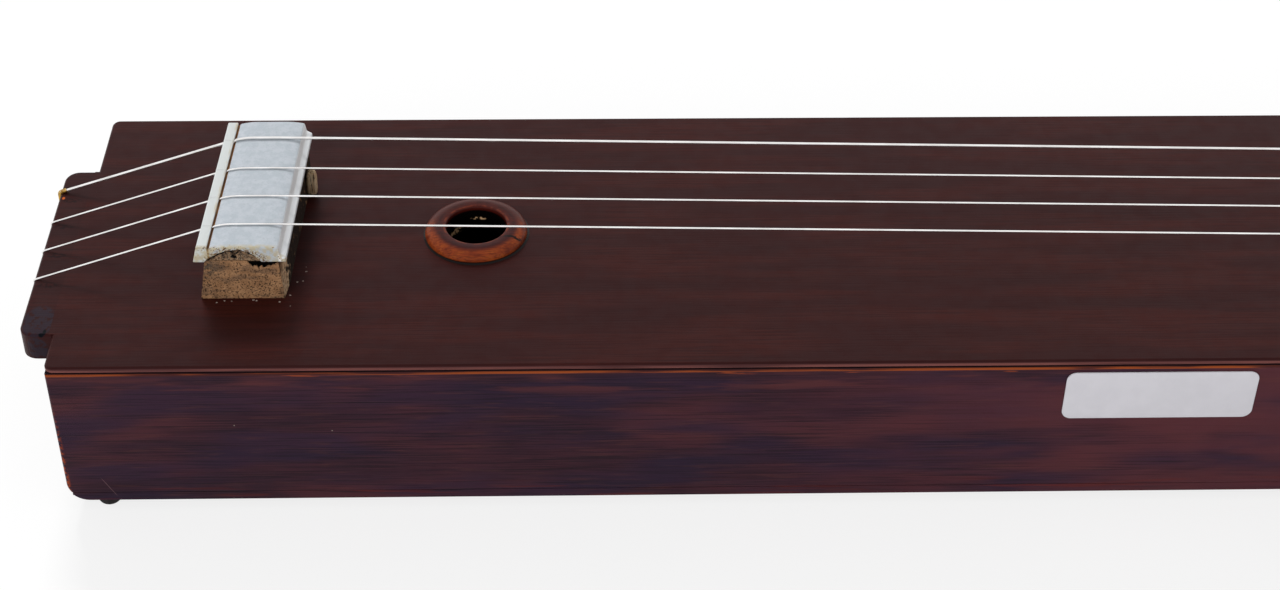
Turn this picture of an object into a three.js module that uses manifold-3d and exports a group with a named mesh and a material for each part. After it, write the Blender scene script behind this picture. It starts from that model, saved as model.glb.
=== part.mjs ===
// Box tanpura: a long plain sound box with four strings, a wide bridge, a ring round its sound
// hole and a head plank with four geared tuners. Millimetres, +Z up, the head at +X.
// The construction is laid out from the tail end of the box, x = 0, and is moved to its middle
// at the end, so that the origin lies under the middle of the whole instrument.
import * as THREE from "three"
import { mergeVertices } from "three/addons/utils/BufferGeometryUtils.js"
import Module from "manifold-3d"

const wasm = await Module()
wasm.setup()

// Clearances and fine edges
const glueGap = 0.3
const runningGap = 0.3
const stringGap = 0.3
const arris = 0.9
const overrun = 1

// Sound box
const boxLength = 835
const boxWidth = 200
const boxDepth = 82
const soundboardThickness = 3.4
const backThickness = 4
const sideThickness = 8
const endThickness = 12
const lowerCornerRadius = 10
const boardCornerRadius = 4
const liningWidth = 8
const liningDepth = 9

// Crossbars glued under the soundboard and on the back
const braceWidth = 9
const braceDepth = 15
const braceEndDepth = 6
const braceTaper = 30
const topBraceShares = [0.172, 0.37, 0.68]
const backBraceShares = [0.25, 0.66]

// Feet
const footRadius = 6.3
const footFlatRadius = 4
const footHeight = 6
const footInset = 17.5
const footEdgeInset = 8

// Tail ledge, which the strings cross on their way down to their pins
const ledgeReach = 15.6
const ledgeThickness = 15
const ledgeNearEdge = -76
const ledgeFarEdge = 54
const ledgeCornerRadius = 7

// String pins in the end of the ledge, each with its string hooked round it
const pinDrop = 11
const pinRadius = 1.2
const pinHeadRadius = 2.1
const pinHeadThickness = 1
const pinDepth = 10
const pinHookShare = 0.68

// Strings, from the far side to the near side
const stringPlaces = [36, 10.7, -12.2, -34.6]
const bassStringRadius = 0.55
const trebleStringRadius = 0.4
const windingTurns = 3
const windingGap = 0.5
const windingClearance = 0.4
const stringBendRadius = 1.4

// Bridge: a wooden block under a moulded plate with a comb rib, a curved crown and a step
const bridgeLength = 103
const bridgeTailEdge = 65.2
const bridgeTopHeight = 31.5
const bridgeSkewShare = 0.028
const plateUnderside = 22.4
const ribLean = 2.2
const ribWidth = 4.9
const ribHeight = 31.1
const ribSlotWidth = 1.4
const ribSlotFloor = 27.6
const ribHoleHeight = 29.1
const ribHoleRise = 0.6
const crownWidth = 30
const crownRise = 9
const crownRiseDrop = 1.3
const crownFallWidth = 9
const crownFallDrop = 1
const stepRun = 2.3
const stepHeight = 24.6
const flangeWidth = 2.3
const archTailInset = 5.2
const archTailRun = 16
const archHeadRun = 10.5
const archHeight = 6.9
const blockTailInset = 1.2
const blockHeadInset = 0.2
const blockLean = 2.8
const blockHeadLean = 1.6
const blockEndInset = 1.6
const blockChamfer = 4.6
const plateArris = 0.3
const wedgeWidth = 4.6
const wedgeHeight = 13.6
const wedgeDepth = 6
const wedgeFarInset = 17.5
const wedgeTipRadius = 1.8

// Ring round the sound hole
const holePlace = 192.5
const ringRadius = 25
const ringBoreRadius = 14.7
const ringHeight = 5.4
const ringTopRadius = 18
const ringLipRadius = 1
const ringFootHeight = 1
const ringSpigotRadius = 16.6
const ringSpigotDepth = 4.6
const ringSteps = 32

// Nut and string guide, placed from the head end of the box
const nutInset = 15
const nutThickness = 6
const nutLength = 96
const nutStringHeight = 17.8
const nutRim = 1.6
const nutCornerRadius = 5
const guideReach = 9
const guideThickness = 5
const guideLength = 90
const guideStringHeight = 14
const guideRim = 4
const guideHoleClearance = 0.45

// Head plank, with a tongue that reaches into the box under the soundboard
const plankReach = 115
const plankWidth = 110
const plankThickness = 16
const plankCornerRadius = 14
const tongueLength = 34
const tongueWidth = 96
const headBlockDepth = 28
const nearPostPlace = 35
const farPostPlace = 85
const postEdgeInset = 17

// Tuner posts and their ferrules
const postRadius = 3
const postWaistRadius = 2.6
const postStubRadius = 2.2
const postRise = 17
const postCapHeight = 4.2
const postCapRound = 1
const postHoleRadius = 0.9
const postHoleRise = 13
const ferruleRimRadius = 5.4
const ferruleRadius = 4.4
const ferruleRimHeight = 1.5
const ferruleDepth = 9
const windingRise = 5.6

// Worm drive
const gearTeeth = 14
const wormPitch = 3
const wormPitchRadius = 3.2
const toothAddendum = 0.85
const toothClearance = 0.3
const toothBacklash = 0.3
const pressureAngle = THREE.MathUtils.degToRad(20)
const gearThickness = 5
const gearHubRadius = 4.3
const threadTurns = 3.4
const threadSteps = 12
const threadRunOutSteps = 4
const threadSides = 4
const threadBurial = 0.3
const collarRadius = 3.1
const collarThickness = 0.8
const keyFlangeRadius = 3.4
const keyFlangeThickness = 1.4

// Tuner plate with its two ears
const tunerPlateThickness = 1.2
const tunerPlateLength = 28
const tunerPlateHeadReach = 8
const tunerPlateTailReach = 6
const tunerPlateCornerRadius = 2.5
const tunerScrewRadius = 1.2
const tunerScrewInset = 3
const earSpan = 9
const earThickness = 1.5
const earHalfWidth = 4.4
const wormHeadroom = 0.5

// Tuner buttons
const buttonStandOff = 24
const buttonLength = 17
const buttonWidth = 20
const buttonThickness = 7
const buttonNeckWidth = 8.4
const buttonEdge = 2.2
const buttonSocketDepth = 9
const buttonNeckBendShare = 0.2
const buttonSwellBendShare = 0.15
const buttonWidestShare = 0.5
const buttonCrownBendShare = 0.85
const buttonTipBendShare = 0.6

// Heights and places that follow from the sizes above
const boxBottom = footHeight + glueGap
const boxTop = boxBottom + boxDepth
const frameTop = boxTop - soundboardThickness - glueGap
const frameBottom = boxBottom + backThickness + glueGap
const innerHalfWidth = boxWidth / 2 - sideThickness - glueGap
const plankBottom = boxTop - plankThickness
const tongueTop = frameTop
const tongueStart = boxLength - endThickness - glueGap - tongueLength
const plankEnd = boxLength + glueGap + plankReach
const nutPlace = boxLength - nutInset
const guidePlace = boxLength + guideReach
const postSpread = plankWidth / 2 - postEdgeInset
const plateBottom = plankBottom - glueGap - tunerPlateThickness
const wormOuterRadius = wormPitchRadius + toothAddendum
const wormRootRadius = wormPitchRadius - toothAddendum - toothClearance
const gearPitchRadius = gearTeeth * wormPitch / (2 * Math.PI)
const gearTipRadius = gearPitchRadius + toothAddendum
const gearRootRadius = gearPitchRadius - toothAddendum - toothClearance
const driveDistance = gearPitchRadius + wormPitchRadius
const wormHeight = plateBottom - wormHeadroom - wormOuterRadius
const gearBottom = wormHeight - gearThickness / 2
const ledgeFace = -glueGap - ledgeReach
const pinReach = 2 * (bassStringRadius + stringGap) + pinHeadThickness
const tailmost = ledgeFace - pinReach
const middle = (tailmost + plankEnd) / 2

// Four strings and the tuner that each one runs to
const courses = [
  { name: "1", y: stringPlaces[0], radius: bassStringRadius, post: nearPostPlace, side: 1 },
  { name: "2", y: stringPlaces[1], radius: trebleStringRadius, post: farPostPlace, side: 1 },
  { name: "3", y: stringPlaces[2], radius: trebleStringRadius, post: farPostPlace, side: -1 },
  { name: "4", y: stringPlaces[3], radius: trebleStringRadius, post: nearPostPlace, side: -1 },
]

// Finishes
const finish = (color, roughness, metalness = 0) =>
  new THREE.MeshStandardMaterial({ color, roughness, metalness })
const stainedTop = finish(0x3e2727, 0.5)
const stainedSide = finish(0x44292e, 0.5)
const rawWood = finish(0xa98560, 0.85)
const bridgeWood = finish(0x8a6648, 0.9)
const plateWhite = finish(0xc9ced4, 0.35)
const ringBrown = finish(0x6b3225, 0.25)
const steel = finish(0xb9bcc0, 0.3, 1)
const brass = finish(0xb08d4c, 0.3, 1)
const buttonCream = finish(0xe6dcc2, 0.4)
const rubberBlack = finish(0x171615, 0.8)

const assembly = new THREE.Group()
assembly.position.x = -middle

function place(name, geometry, material, parent = assembly) {
  const mesh = new THREE.Mesh(outward(geometry), material)
  mesh.name = name
  parent.add(mesh)
  return mesh
}

// A closed surface with its faces turned outwards
function outward(geometry) {
  geometry.deleteAttribute("normal")
  geometry.deleteAttribute("uv")
  const closed = mergeVertices(geometry)
  const [a, b, c] = [new THREE.Vector3(), new THREE.Vector3(), new THREE.Vector3()]
  const { position } = closed.attributes
  const index = closed.index.array
  let volume = 0
  for (let i = 0; i < index.length; i += 3) {
    a.fromBufferAttribute(position, index[i])
    b.fromBufferAttribute(position, index[i + 1])
    c.fromBufferAttribute(position, index[i + 2])
    volume += a.dot(b.cross(c))
  }
  if (volume < 0) index.reverse()
  closed.computeVertexNormals()
  return closed
}

function solid(geometry) {
  const closed = outward(geometry)
  return new wasm.Manifold(new wasm.Mesh({
    numProp: 3,
    vertProperties: new Float32Array(closed.attributes.position.array),
    triVerts: new Uint32Array(closed.index.array),
  }))
}

function geometryOf(manifold) {
  const mesh = manifold.getMesh()
  const geometry = new THREE.BufferGeometry()
  geometry.setAttribute("position", new THREE.BufferAttribute(new Float32Array(mesh.vertProperties), 3))
  geometry.setIndex(new THREE.BufferAttribute(new Uint32Array(mesh.triVerts), 1))
  return geometry
}

const cut = (blank, ...tools) =>
  geometryOf(tools.reduce((body, tool) => body.subtract(solid(tool)), solid(blank)))

// Extrusions: an outline seen from above, from the front or from the tail end
const axisX = new THREE.Vector3(1, 0, 0)
const axisY = new THREE.Vector3(0, 1, 0)
const axisZ = new THREE.Vector3(0, 0, 1)

function extrude(shape, length, edge = 0, curveSegments = 4) {
  const geometry = new THREE.ExtrudeGeometry(shape, {
    depth: length - 2 * edge,
    bevelEnabled: edge > 0,
    bevelThickness: edge,
    bevelSize: edge,
    bevelOffset: -edge,
    bevelSegments: 1,
    curveSegments,
  })
  return geometry.translate(0, 0, edge)
}

const extrudeUp = (shape, from, to, edge, curveSegments) =>
  extrude(shape, to - from, edge, curveSegments).translate(0, 0, from)

function extrudeAcross(shape, from, to, edge, curveSegments) {
  const turn = new THREE.Matrix4().makeBasis(axisX, axisZ, axisY.clone().negate())
  return extrude(shape, to - from, edge, curveSegments).applyMatrix4(turn).translate(0, to, 0)
}

function extrudeAlong(shape, from, to, edge, curveSegments) {
  const turn = new THREE.Matrix4().makeBasis(axisY, axisZ, axisX)
  return extrude(shape, to - from, edge, curveSegments).applyMatrix4(turn).translate(from, 0, 0)
}

function polygon(...points) {
  return new THREE.Shape(points.map(([x, y]) => new THREE.Vector2(x, y)))
}

const rectangle = (left, low, right, high) =>
  polygon([left, low], [right, low], [right, high], [left, high])

// A rectangle with its own radius at each corner: low left, low right, high right, high left
function roundedRectangle(left, low, right, high, radii) {
  const [lowLeft, lowRight, highRight, highLeft] = radii
  const shape = new THREE.Shape()
  shape.moveTo(left + lowLeft, low)
  shape.lineTo(right - lowRight, low)
  if (lowRight) shape.absarc(right - lowRight, low + lowRight, lowRight, -Math.PI / 2, 0)
  shape.lineTo(right, high - highRight)
  if (highRight) shape.absarc(right - highRight, high - highRight, highRight, 0, Math.PI / 2)
  shape.lineTo(left + highLeft, high)
  if (highLeft) shape.absarc(left + highLeft, high - highLeft, highLeft, Math.PI / 2, Math.PI)
  shape.lineTo(left, low + lowLeft)
  if (lowLeft) shape.absarc(left + lowLeft, low + lowLeft, lowLeft, Math.PI, 1.5 * Math.PI)
  return shape
}

// A round hole in an outline
function roundHole(x, y, radius, sides) {
  const corners = Array.from({ length: sides }, (_, i) => {
    const angle = -2 * Math.PI * i / sides
    return new THREE.Vector2(x + radius * Math.cos(angle), y + radius * Math.sin(angle))
  })
  return new THREE.Path(corners)
}

// A turned piece: pairs of radius and height, closed on the axis or on itself
function turned(profile, segments = 24) {
  const points = profile.map(([radius, height]) => new THREE.Vector2(radius, height))
  return new THREE.LatheGeometry(points, segments).rotateX(Math.PI / 2)
}

const rod = (radius, from, to, segments) =>
  turned([[0, from], [radius, from], [radius, to], [0, to]], segments)

const alongX = (geometry) => geometry.rotateY(Math.PI / 2)
const alongY = (geometry) => geometry.rotateX(-Math.PI / 2)

// Sound box
// The lower end corners of the box are rounded. Points of the corner between two heights over
// the underside of the box, upwards, as pairs of inset from the end and height
function lowerCorner(low, high, steps = 5) {
  const angleAt = (height) => Math.acos(1 - Math.min(height / lowerCornerRadius, 1))
  const from = angleAt(low - boxBottom)
  const to = angleAt(high - boxBottom)
  return Array.from({ length: steps + 1 }, (_, i) => {
    const angle = from + (to - from) * i / steps
    const inset = lowerCornerRadius * (1 - Math.sin(angle))
    return [inset, boxBottom + lowerCornerRadius * (1 - Math.cos(angle))]
  })
}

// Side view of a length of box wall between two heights, with the rounded lower end corners
function sideView(start, end, low, high, roundStart, roundEnd) {
  const corner = lowerCorner(low, high)
  const tall = high > boxBottom + lowerCornerRadius
  const endSide = roundEnd ? corner.map(([inset, z]) => [end - inset, z]) : [[end, low]]
  const startSide = roundStart
    ? corner.map(([inset, z]) => [start + inset, z]).toReversed()
    : [[start, low]]
  if (tall || !roundEnd) endSide.push([end, high])
  if (tall || !roundStart) startSide.unshift([start, high])
  return polygon(...endSide, ...startSide)
}

function soundBox() {
  const board = roundedRectangle(0, -boxWidth / 2, boxLength, boxWidth / 2,
    [boardCornerRadius, boardCornerRadius, boardCornerRadius, boardCornerRadius])
  board.holes.push(roundHole(holePlace, 0, ringSpigotRadius + glueGap, ringSteps))
  place("soundboard", extrudeUp(board, boxTop - soundboardThickness, boxTop, arris), stainedTop)
  const backTop = boxBottom + backThickness
  place("back_board", extrudeAcross(sideView(0, boxLength, boxBottom, backTop, true, true),
    -boxWidth / 2, boxWidth / 2), stainedSide)
  const side = sideView(0, boxLength, frameBottom, frameTop, true, true)
  const half = boxWidth / 2
  place("front_side", extrudeAcross(side, -half, -half + sideThickness, arris), stainedSide)
  place("rear_side", extrudeAcross(side, half - sideThickness, half, arris), stainedSide)
}

function endWalls() {
  const tail = extrudeAcross(sideView(0, endThickness, frameBottom, frameTop, true, false),
    -innerHalfWidth, innerHalfWidth)
  place("tail_wall", tail, stainedSide)
  const head = extrudeAcross(
    sideView(boxLength - endThickness, boxLength, frameBottom, frameTop, false, true),
    -innerHalfWidth, innerHalfWidth)
  const notchHalf = tongueWidth / 2 + glueGap
  const notch = extrudeAlong(rectangle(-notchHalf, plankBottom - glueGap, notchHalf, frameTop + overrun),
    boxLength - endThickness - overrun, boxLength + overrun)
  place("head_wall", cut(head, notch), stainedSide)
}

function linings() {
  const strip = (near, far) => extrudeAlong(
    rectangle(near, frameTop - liningDepth, far, frameTop),
    endThickness + glueGap, boxLength - endThickness - glueGap)
  place("front_lining", strip(-innerHalfWidth, -innerHalfWidth + liningWidth), rawWood)
  place("rear_lining", strip(innerHalfWidth - liningWidth, innerHalfWidth), rawWood)
}

// A crossbar whose ends are cut down to a thinner section
function crossbar(halfLength, face, towards) {
  const deep = face + towards * braceDepth
  const shallow = face + towards * braceEndDepth
  return polygon([-halfLength, face], [halfLength, face], [halfLength, shallow],
    [halfLength - braceTaper, deep], [-halfLength + braceTaper, deep], [-halfLength, shallow])
}

function braces() {
  const topHalf = innerHalfWidth - liningWidth - glueGap
  const bar = (shape, share) => extrudeAlong(shape, boxLength * share - braceWidth / 2,
    boxLength * share + braceWidth / 2)
  topBraceShares.forEach((share, i) => {
    place(`top_brace_${i + 1}`, bar(crossbar(topHalf, frameTop, -1), share), rawWood)
  })
  backBraceShares.forEach((share, i) => {
    place(`back_brace_${i + 1}`, bar(crossbar(innerHalfWidth, frameBottom, 1), share), rawWood)
  })
}

function feet() {
  const dome = [[0, 0], [footFlatRadius, 0]]
  const steps = 5
  for (let i = 1; i <= steps; i++) {
    const angle = Math.PI / 2 * i / steps
    dome.push([
      footFlatRadius + (footRadius - footFlatRadius) * Math.sin(angle),
      footHeight * (1 - Math.cos(angle)),
    ])
  }
  dome.push([0, footHeight])
  for (const [end, x] of [["tail", footInset], ["head", boxLength - footInset]]) {
    for (const [side, sign] of [["front", -1], ["rear", 1]]) {
      place(`foot_${end}_${side}`, turned(dome, 16), rubberBlack)
        .position.set(x, sign * (boxWidth / 2 - footEdgeInset), 0)
    }
  }
}

function tailLedge() {
  const outline = roundedRectangle(ledgeFace, ledgeNearEdge, -glueGap, ledgeFarEdge,
    [ledgeCornerRadius, 0, 0, ledgeCornerRadius])
  const holes = courses.map(({ y }) =>
    alongX(rod(pinRadius + glueGap, -overrun, pinDepth + glueGap, 12))
      .translate(ledgeFace, y, boxTop - pinDrop))
  const blank = extrudeUp(outline, boxTop - ledgeThickness, boxTop, arris)
  place("tail_ledge", cut(blank, ...holes), stainedTop)
  for (const { name, y } of courses) {
    const pin = turned([
      [0, -pinReach], [pinHeadRadius, -pinReach], [pinHeadRadius, -pinReach + pinHeadThickness],
      [pinRadius, -pinReach + pinHeadThickness], [pinRadius, pinDepth], [0, pinDepth],
    ], 12)
    place(`string_pin_${name}`, alongX(pin), steel).position.set(ledgeFace, y, boxTop - pinDrop)
  }
}

// Ring round the sound hole, with a spigot that fits the hole in the soundboard
function soundRing() {
  const profile = [[ringSpigotRadius, glueGap], [ringRadius, glueGap], [ringRadius, ringFootHeight]]
  const steps = 6
  for (let i = 1; i <= steps; i++) {
    const angle = Math.PI / 2 * i / steps
    profile.push([
      ringTopRadius + (ringRadius - ringTopRadius) * Math.cos(angle),
      ringFootHeight + (ringHeight - ringFootHeight) * Math.sin(angle),
    ])
  }
  profile.push(
    [ringBoreRadius + ringLipRadius, ringHeight],
    [ringBoreRadius, ringHeight - ringLipRadius],
    [ringBoreRadius, -ringSpigotDepth],
    [ringSpigotRadius, -ringSpigotDepth],
    [ringSpigotRadius, glueGap],
  )
  place("sound_ring", turned(profile, ringSteps), ringBrown).position.set(holePlace, 0, boxTop)
}

// Bridge. Its cross-section is the same from end to end, and its far end stands nearer the head.
const ribHead = bridgeTailEdge + ribLean + ribWidth
const crownStart = ribHead + ribSlotWidth
const crownEnd = crownStart + crownWidth
const plateHeadEdge = crownEnd + stepRun + flangeWidth
const lean = new THREE.Matrix4().makeShear(0, 0, bridgeSkewShare, 0, 0, 0)

// Height of the crown above the soundboard, by distance from its tail edge
function crownHeight(run) {
  const rise = Math.max(1 - run / crownRise, 0)
  const fall = Math.max(1 - (crownWidth - run) / crownFallWidth, 0)
  return bridgeTopHeight - crownRiseDrop * rise ** 2 - crownFallDrop * fall ** 2
}

const archPeak = bridgeTailEdge + archTailInset + archTailRun

// The arch under the plate, drawn from its head side to its tail side: two half parabolas
function archPoints(steps = 12) {
  return Array.from({ length: steps + 1 }, (_, i) => {
    const share = 1 - 2 * i / steps
    const run = share > 0 ? archHeadRun : archTailRun
    return [archPeak + run * share, plateUnderside + archHeight * (1 - share ** 2)]
  })
}

function bridgePlate() {
  const crownSteps = 8
  const crown = Array.from({ length: crownSteps + 1 }, (_, i) => {
    const run = crownWidth * (1 - i / crownSteps)
    return [crownStart + run, crownHeight(run)]
  })
  const outline = polygon(
    [bridgeTailEdge, plateUnderside],
    ...archPoints().toReversed(),
    [plateHeadEdge, plateUnderside],
    [plateHeadEdge, stepHeight],
    [crownEnd + stepRun, stepHeight],
    ...crown,
    [crownStart, ribSlotFloor],
    [ribHead, ribSlotFloor],
    [ribHead, ribHeight],
    [bridgeTailEdge + ribLean, ribHeight],
  )
  const blank = extrudeAcross(outline, -bridgeLength / 2, bridgeLength / 2, plateArris)
    .applyMatrix4(lean)
  const holes = courses.map(({ y, radius }) => {
    const from = ribPoint(y, -overrun)
    const to = ribPoint(y, ribWidth + ribSlotWidth / 2)
    return rodBetween(from, to, radius + stringGap)
  })
  place("bridge_plate", cut(blank, ...holes), plateWhite).position.z = boxTop
}

// Where a string runs through the comb rib, by distance from the rib's tail face
function ribPoint(y, run) {
  const x = bridgeTailEdge + ribLean + run + y * bridgeSkewShare
  return new THREE.Vector3(x, y, ribHoleHeight + ribHoleRise * run / ribWidth)
}

function rodBetween(from, to, radius, segments = 10) {
  const way = to.clone().sub(from)
  const turn = new THREE.Quaternion().setFromUnitVectors(axisZ, way.clone().normalize())
  return rod(radius, 0, way.length(), segments).applyQuaternion(turn)
    .translate(from.x, from.y, from.z)
}

function bridgeBlock() {
  const tail = bridgeTailEdge + blockTailInset
  const head = plateHeadEdge - blockHeadInset
  const top = plateUnderside - glueGap
  const section = polygon(
    [tail, glueGap], [head + blockHeadLean, glueGap], [head, top],
    ...archPoints().map(([x, z]) => [x, Math.max(z - 2 * glueGap, top)]),
    [tail + blockLean, top],
  )
  const halfLength = bridgeLength / 2 - blockEndInset
  const body = extrudeAcross(section, -halfLength, halfLength).applyMatrix4(lean)
  const corner = new THREE.Vector2(head + blockHeadLean - halfLength * bridgeSkewShare, -halfLength)
  const chamfer = extrudeUp(polygon(
    [corner.x - blockChamfer, corner.y - overrun],
    [corner.x + 2 * overrun, corner.y - overrun],
    [corner.x + 2 * overrun, corner.y + blockChamfer + overrun],
  ), 0, plateUnderside)
  place("bridge_block", cut(body, chamfer), bridgeWood).position.z = boxTop
}

function bridgeWedge() {
  const wedgePlace = bridgeLength / 2 - wedgeFarInset
  const start = plateHeadEdge + blockHeadLean + glueGap + wedgePlace * bridgeSkewShare
  const outline = roundedRectangle(start, glueGap, start + wedgeWidth, wedgeHeight,
    [0, 0, wedgeTipRadius, wedgeTipRadius])
  place("bridge_wedge", extrudeAcross(outline, wedgePlace - wedgeDepth / 2,
    wedgePlace + wedgeDepth / 2, arris), bridgeWood).position.z = boxTop
}

// Nut and string guide
function nutAndGuide() {
  const nutTop = nutStringHeight + nutRim
  const nut = extrudeAlong(roundedRectangle(-nutLength / 2, glueGap, nutLength / 2, nutTop,
    [0, 0, nutCornerRadius, nutCornerRadius]), nutPlace - nutThickness / 2, nutPlace + nutThickness / 2,
  arris)
  const notches = courses.map(({ y, radius }) => extrudeAlong(
    rectangle(y - radius - stringGap, nutStringHeight - radius - stringGap,
      y + radius + stringGap, nutTop + overrun),
    nutPlace - nutThickness, nutPlace + nutThickness))
  place("nut", cut(nut, ...notches), plateWhite).position.z = boxTop

  const guideTop = guideStringHeight + guideRim
  const guide = extrudeAlong(roundedRectangle(-guideLength / 2, glueGap, guideLength / 2, guideTop,
    [0, 0, nutCornerRadius, nutCornerRadius]), guidePlace - guideThickness / 2,
  guidePlace + guideThickness / 2, arris)
  const bores = courses.map(({ y, radius }) => rodBetween(
    new THREE.Vector3(guidePlace - guideThickness, y, guideStringHeight),
    new THREE.Vector3(guidePlace + guideThickness, y, guideStringHeight),
    radius + guideHoleClearance))
  place("string_guide", cut(guide, ...bores), plateWhite).position.z = boxTop
}

function headPlank() {
  const near = boxLength + glueGap
  const outline = new THREE.Shape()
  const half = plankWidth / 2
  const corner = plankCornerRadius
  outline.moveTo(tongueStart, -tongueWidth / 2)
  outline.lineTo(near, -tongueWidth / 2)
  outline.lineTo(near, -half)
  outline.lineTo(plankEnd - corner, -half)
  outline.absarc(plankEnd - corner, -half + corner, corner, -Math.PI / 2, 0)
  outline.lineTo(plankEnd, half - corner)
  outline.absarc(plankEnd - corner, half - corner, corner, 0, Math.PI / 2)
  outline.lineTo(near, half)
  outline.lineTo(near, tongueWidth / 2)
  outline.lineTo(tongueStart, tongueWidth / 2)
  const step = extrudeAcross(rectangle(tongueStart - overrun, tongueTop, near, boxTop + overrun),
    -plankWidth, plankWidth)
  const postHoles = courses.map(({ post, side }) =>
    rod(ferruleRadius + glueGap, plankBottom - overrun, boxTop + overrun, 12)
      .translate(boxLength + post, side * postSpread, 0))
  place("head_plank", cut(extrudeUp(outline, plankBottom, boxTop, arris), step, ...postHoles), stainedTop)
  const blockTop = plankBottom - glueGap
  place("head_block", extrudeUp(
    rectangle(tongueStart, -tongueWidth / 2, boxLength - endThickness - glueGap, tongueWidth / 2),
    blockTop - headBlockDepth, blockTop), rawWood)
}

// Half the width of a gear tooth as an angle, by radius: an involute flank on its base circle
function toothHalfAngle(radius) {
  const involute = (angle) => Math.tan(angle) - angle
  const baseRadius = gearPitchRadius * Math.cos(pressureAngle)
  const here = Math.acos(Math.min(baseRadius / radius, 1))
  const atPitch = (wormPitch / 4 - toothBacklash / 2) / gearPitchRadius
  return atPitch + involute(pressureAngle) - involute(here)
}

// Worm wheel: its teeth are twisted to the lead of the worm, and a hub keeps it off the plate
function wormWheel() {
  const baseRadius = gearPitchRadius * Math.cos(pressureAngle)
  const radii = [gearRootRadius, gearPitchRadius, gearTipRadius]
  const flank = radii.map((radius) => [radius, toothHalfAngle(Math.max(radius, baseRadius))])
  const points = []
  for (let tooth = 0; tooth < gearTeeth; tooth++) {
    const centre = 2 * Math.PI * (tooth + 0.5) / gearTeeth
    for (const [radius, half] of flank) points.push([centre - half, radius])
    for (const [radius, half] of flank.toReversed()) points.push([centre + half, radius])
  }
  const outline = polygon(...points.map(([angle, radius]) =>
    [radius * Math.cos(angle), radius * Math.sin(angle)]))
  const wheel = extrude(outline, gearThickness).translate(0, 0, -gearThickness / 2)
  const twist = wormPitch / (2 * Math.PI * wormPitchRadius) / gearPitchRadius
  const { position } = wheel.attributes
  const point = new THREE.Vector3()
  for (let i = 0; i < position.count; i++) {
    point.fromBufferAttribute(position, i)
    point.applyAxisAngle(axisZ, point.z * twist)
    position.setXYZ(i, point.x, point.y, point.z)
  }
  const hubTop = plateBottom - runningGap - wormHeight
  const hub = rod(gearHubRadius, 0, hubTop, 16)
  const bore = rod(postStubRadius + glueGap, -gearThickness, hubTop + overrun, 12)
  return geometryOf(solid(wheel).add(solid(hub)).subtract(solid(bore)))
}

// Worm with its shaft along Y: a right-hand thread whose crest faces +X at the middle
function worm() {
  const tip = earSpan + earThickness + collarThickness
  const collar = earSpan - runningGap
  const outerEar = earSpan + earThickness + runningGap
  const end = buttonStandOff + buttonSocketDepth - glueGap
  const flangeEnd = buttonStandOff - glueGap
  const shaft = alongY(turned([
    [0, -tip], [wormRootRadius, -tip], [wormRootRadius, -collar], [collarRadius, -collar],
    [collarRadius, -collar + collarThickness], [wormRootRadius, -collar + collarThickness],
    [wormRootRadius, collar - collarThickness], [collarRadius, collar - collarThickness],
    [collarRadius, collar], [wormRootRadius, collar], [wormRootRadius, outerEar],
    [wormRootRadius, flangeEnd - keyFlangeThickness], [keyFlangeRadius, flangeEnd - keyFlangeThickness],
    [keyFlangeRadius, flangeEnd], [wormRootRadius, flangeEnd], [wormRootRadius, end], [0, end],
  ], 12))
  const halfWidth = (radius) =>
    wormPitch / 4 - toothBacklash / 2 + (wormPitchRadius - radius) * Math.tan(pressureAngle)
  const buried = wormRootRadius - threadBurial
  const steps = Math.round(threadTurns * threadSteps)
  const positions = []
  const index = []
  for (let i = 0; i <= steps; i++) {
    const angle = (i / steps - 0.5) * threadTurns * 2 * Math.PI
    const runOut = Math.min(i, steps - i, threadRunOutSteps) / threadRunOutSteps
    const crest = buried + (wormOuterRadius - buried) * Math.max(runOut, 1 / threadRunOutSteps)
    const middleOfThread = wormPitch * angle / (2 * Math.PI)
    for (const [radius, offset] of [
      [buried, -halfWidth(buried)], [crest, -halfWidth(crest)],
      [crest, halfWidth(crest)], [buried, halfWidth(buried)],
    ]) {
      positions.push(radius * Math.cos(angle), middleOfThread + offset, -radius * Math.sin(angle))
    }
  }
  for (let i = 0; i < steps; i++) {
    for (let j = 0; j < threadSides; j++) {
      const here = i * threadSides + j
      const beside = i * threadSides + (j + 1) % threadSides
      index.push(here, beside, here + threadSides, beside, beside + threadSides, here + threadSides)
    }
  }
  const last = steps * threadSides
  index.push(0, 2, 1, 0, 3, 2, last, last + 1, last + 2, last, last + 2, last + 3)
  const thread = new THREE.BufferGeometry()
  thread.setAttribute("position", new THREE.Float32BufferAttribute(positions, 3))
  thread.setIndex(index)
  return geometryOf(solid(shaft).add(solid(thread)))
}

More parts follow.
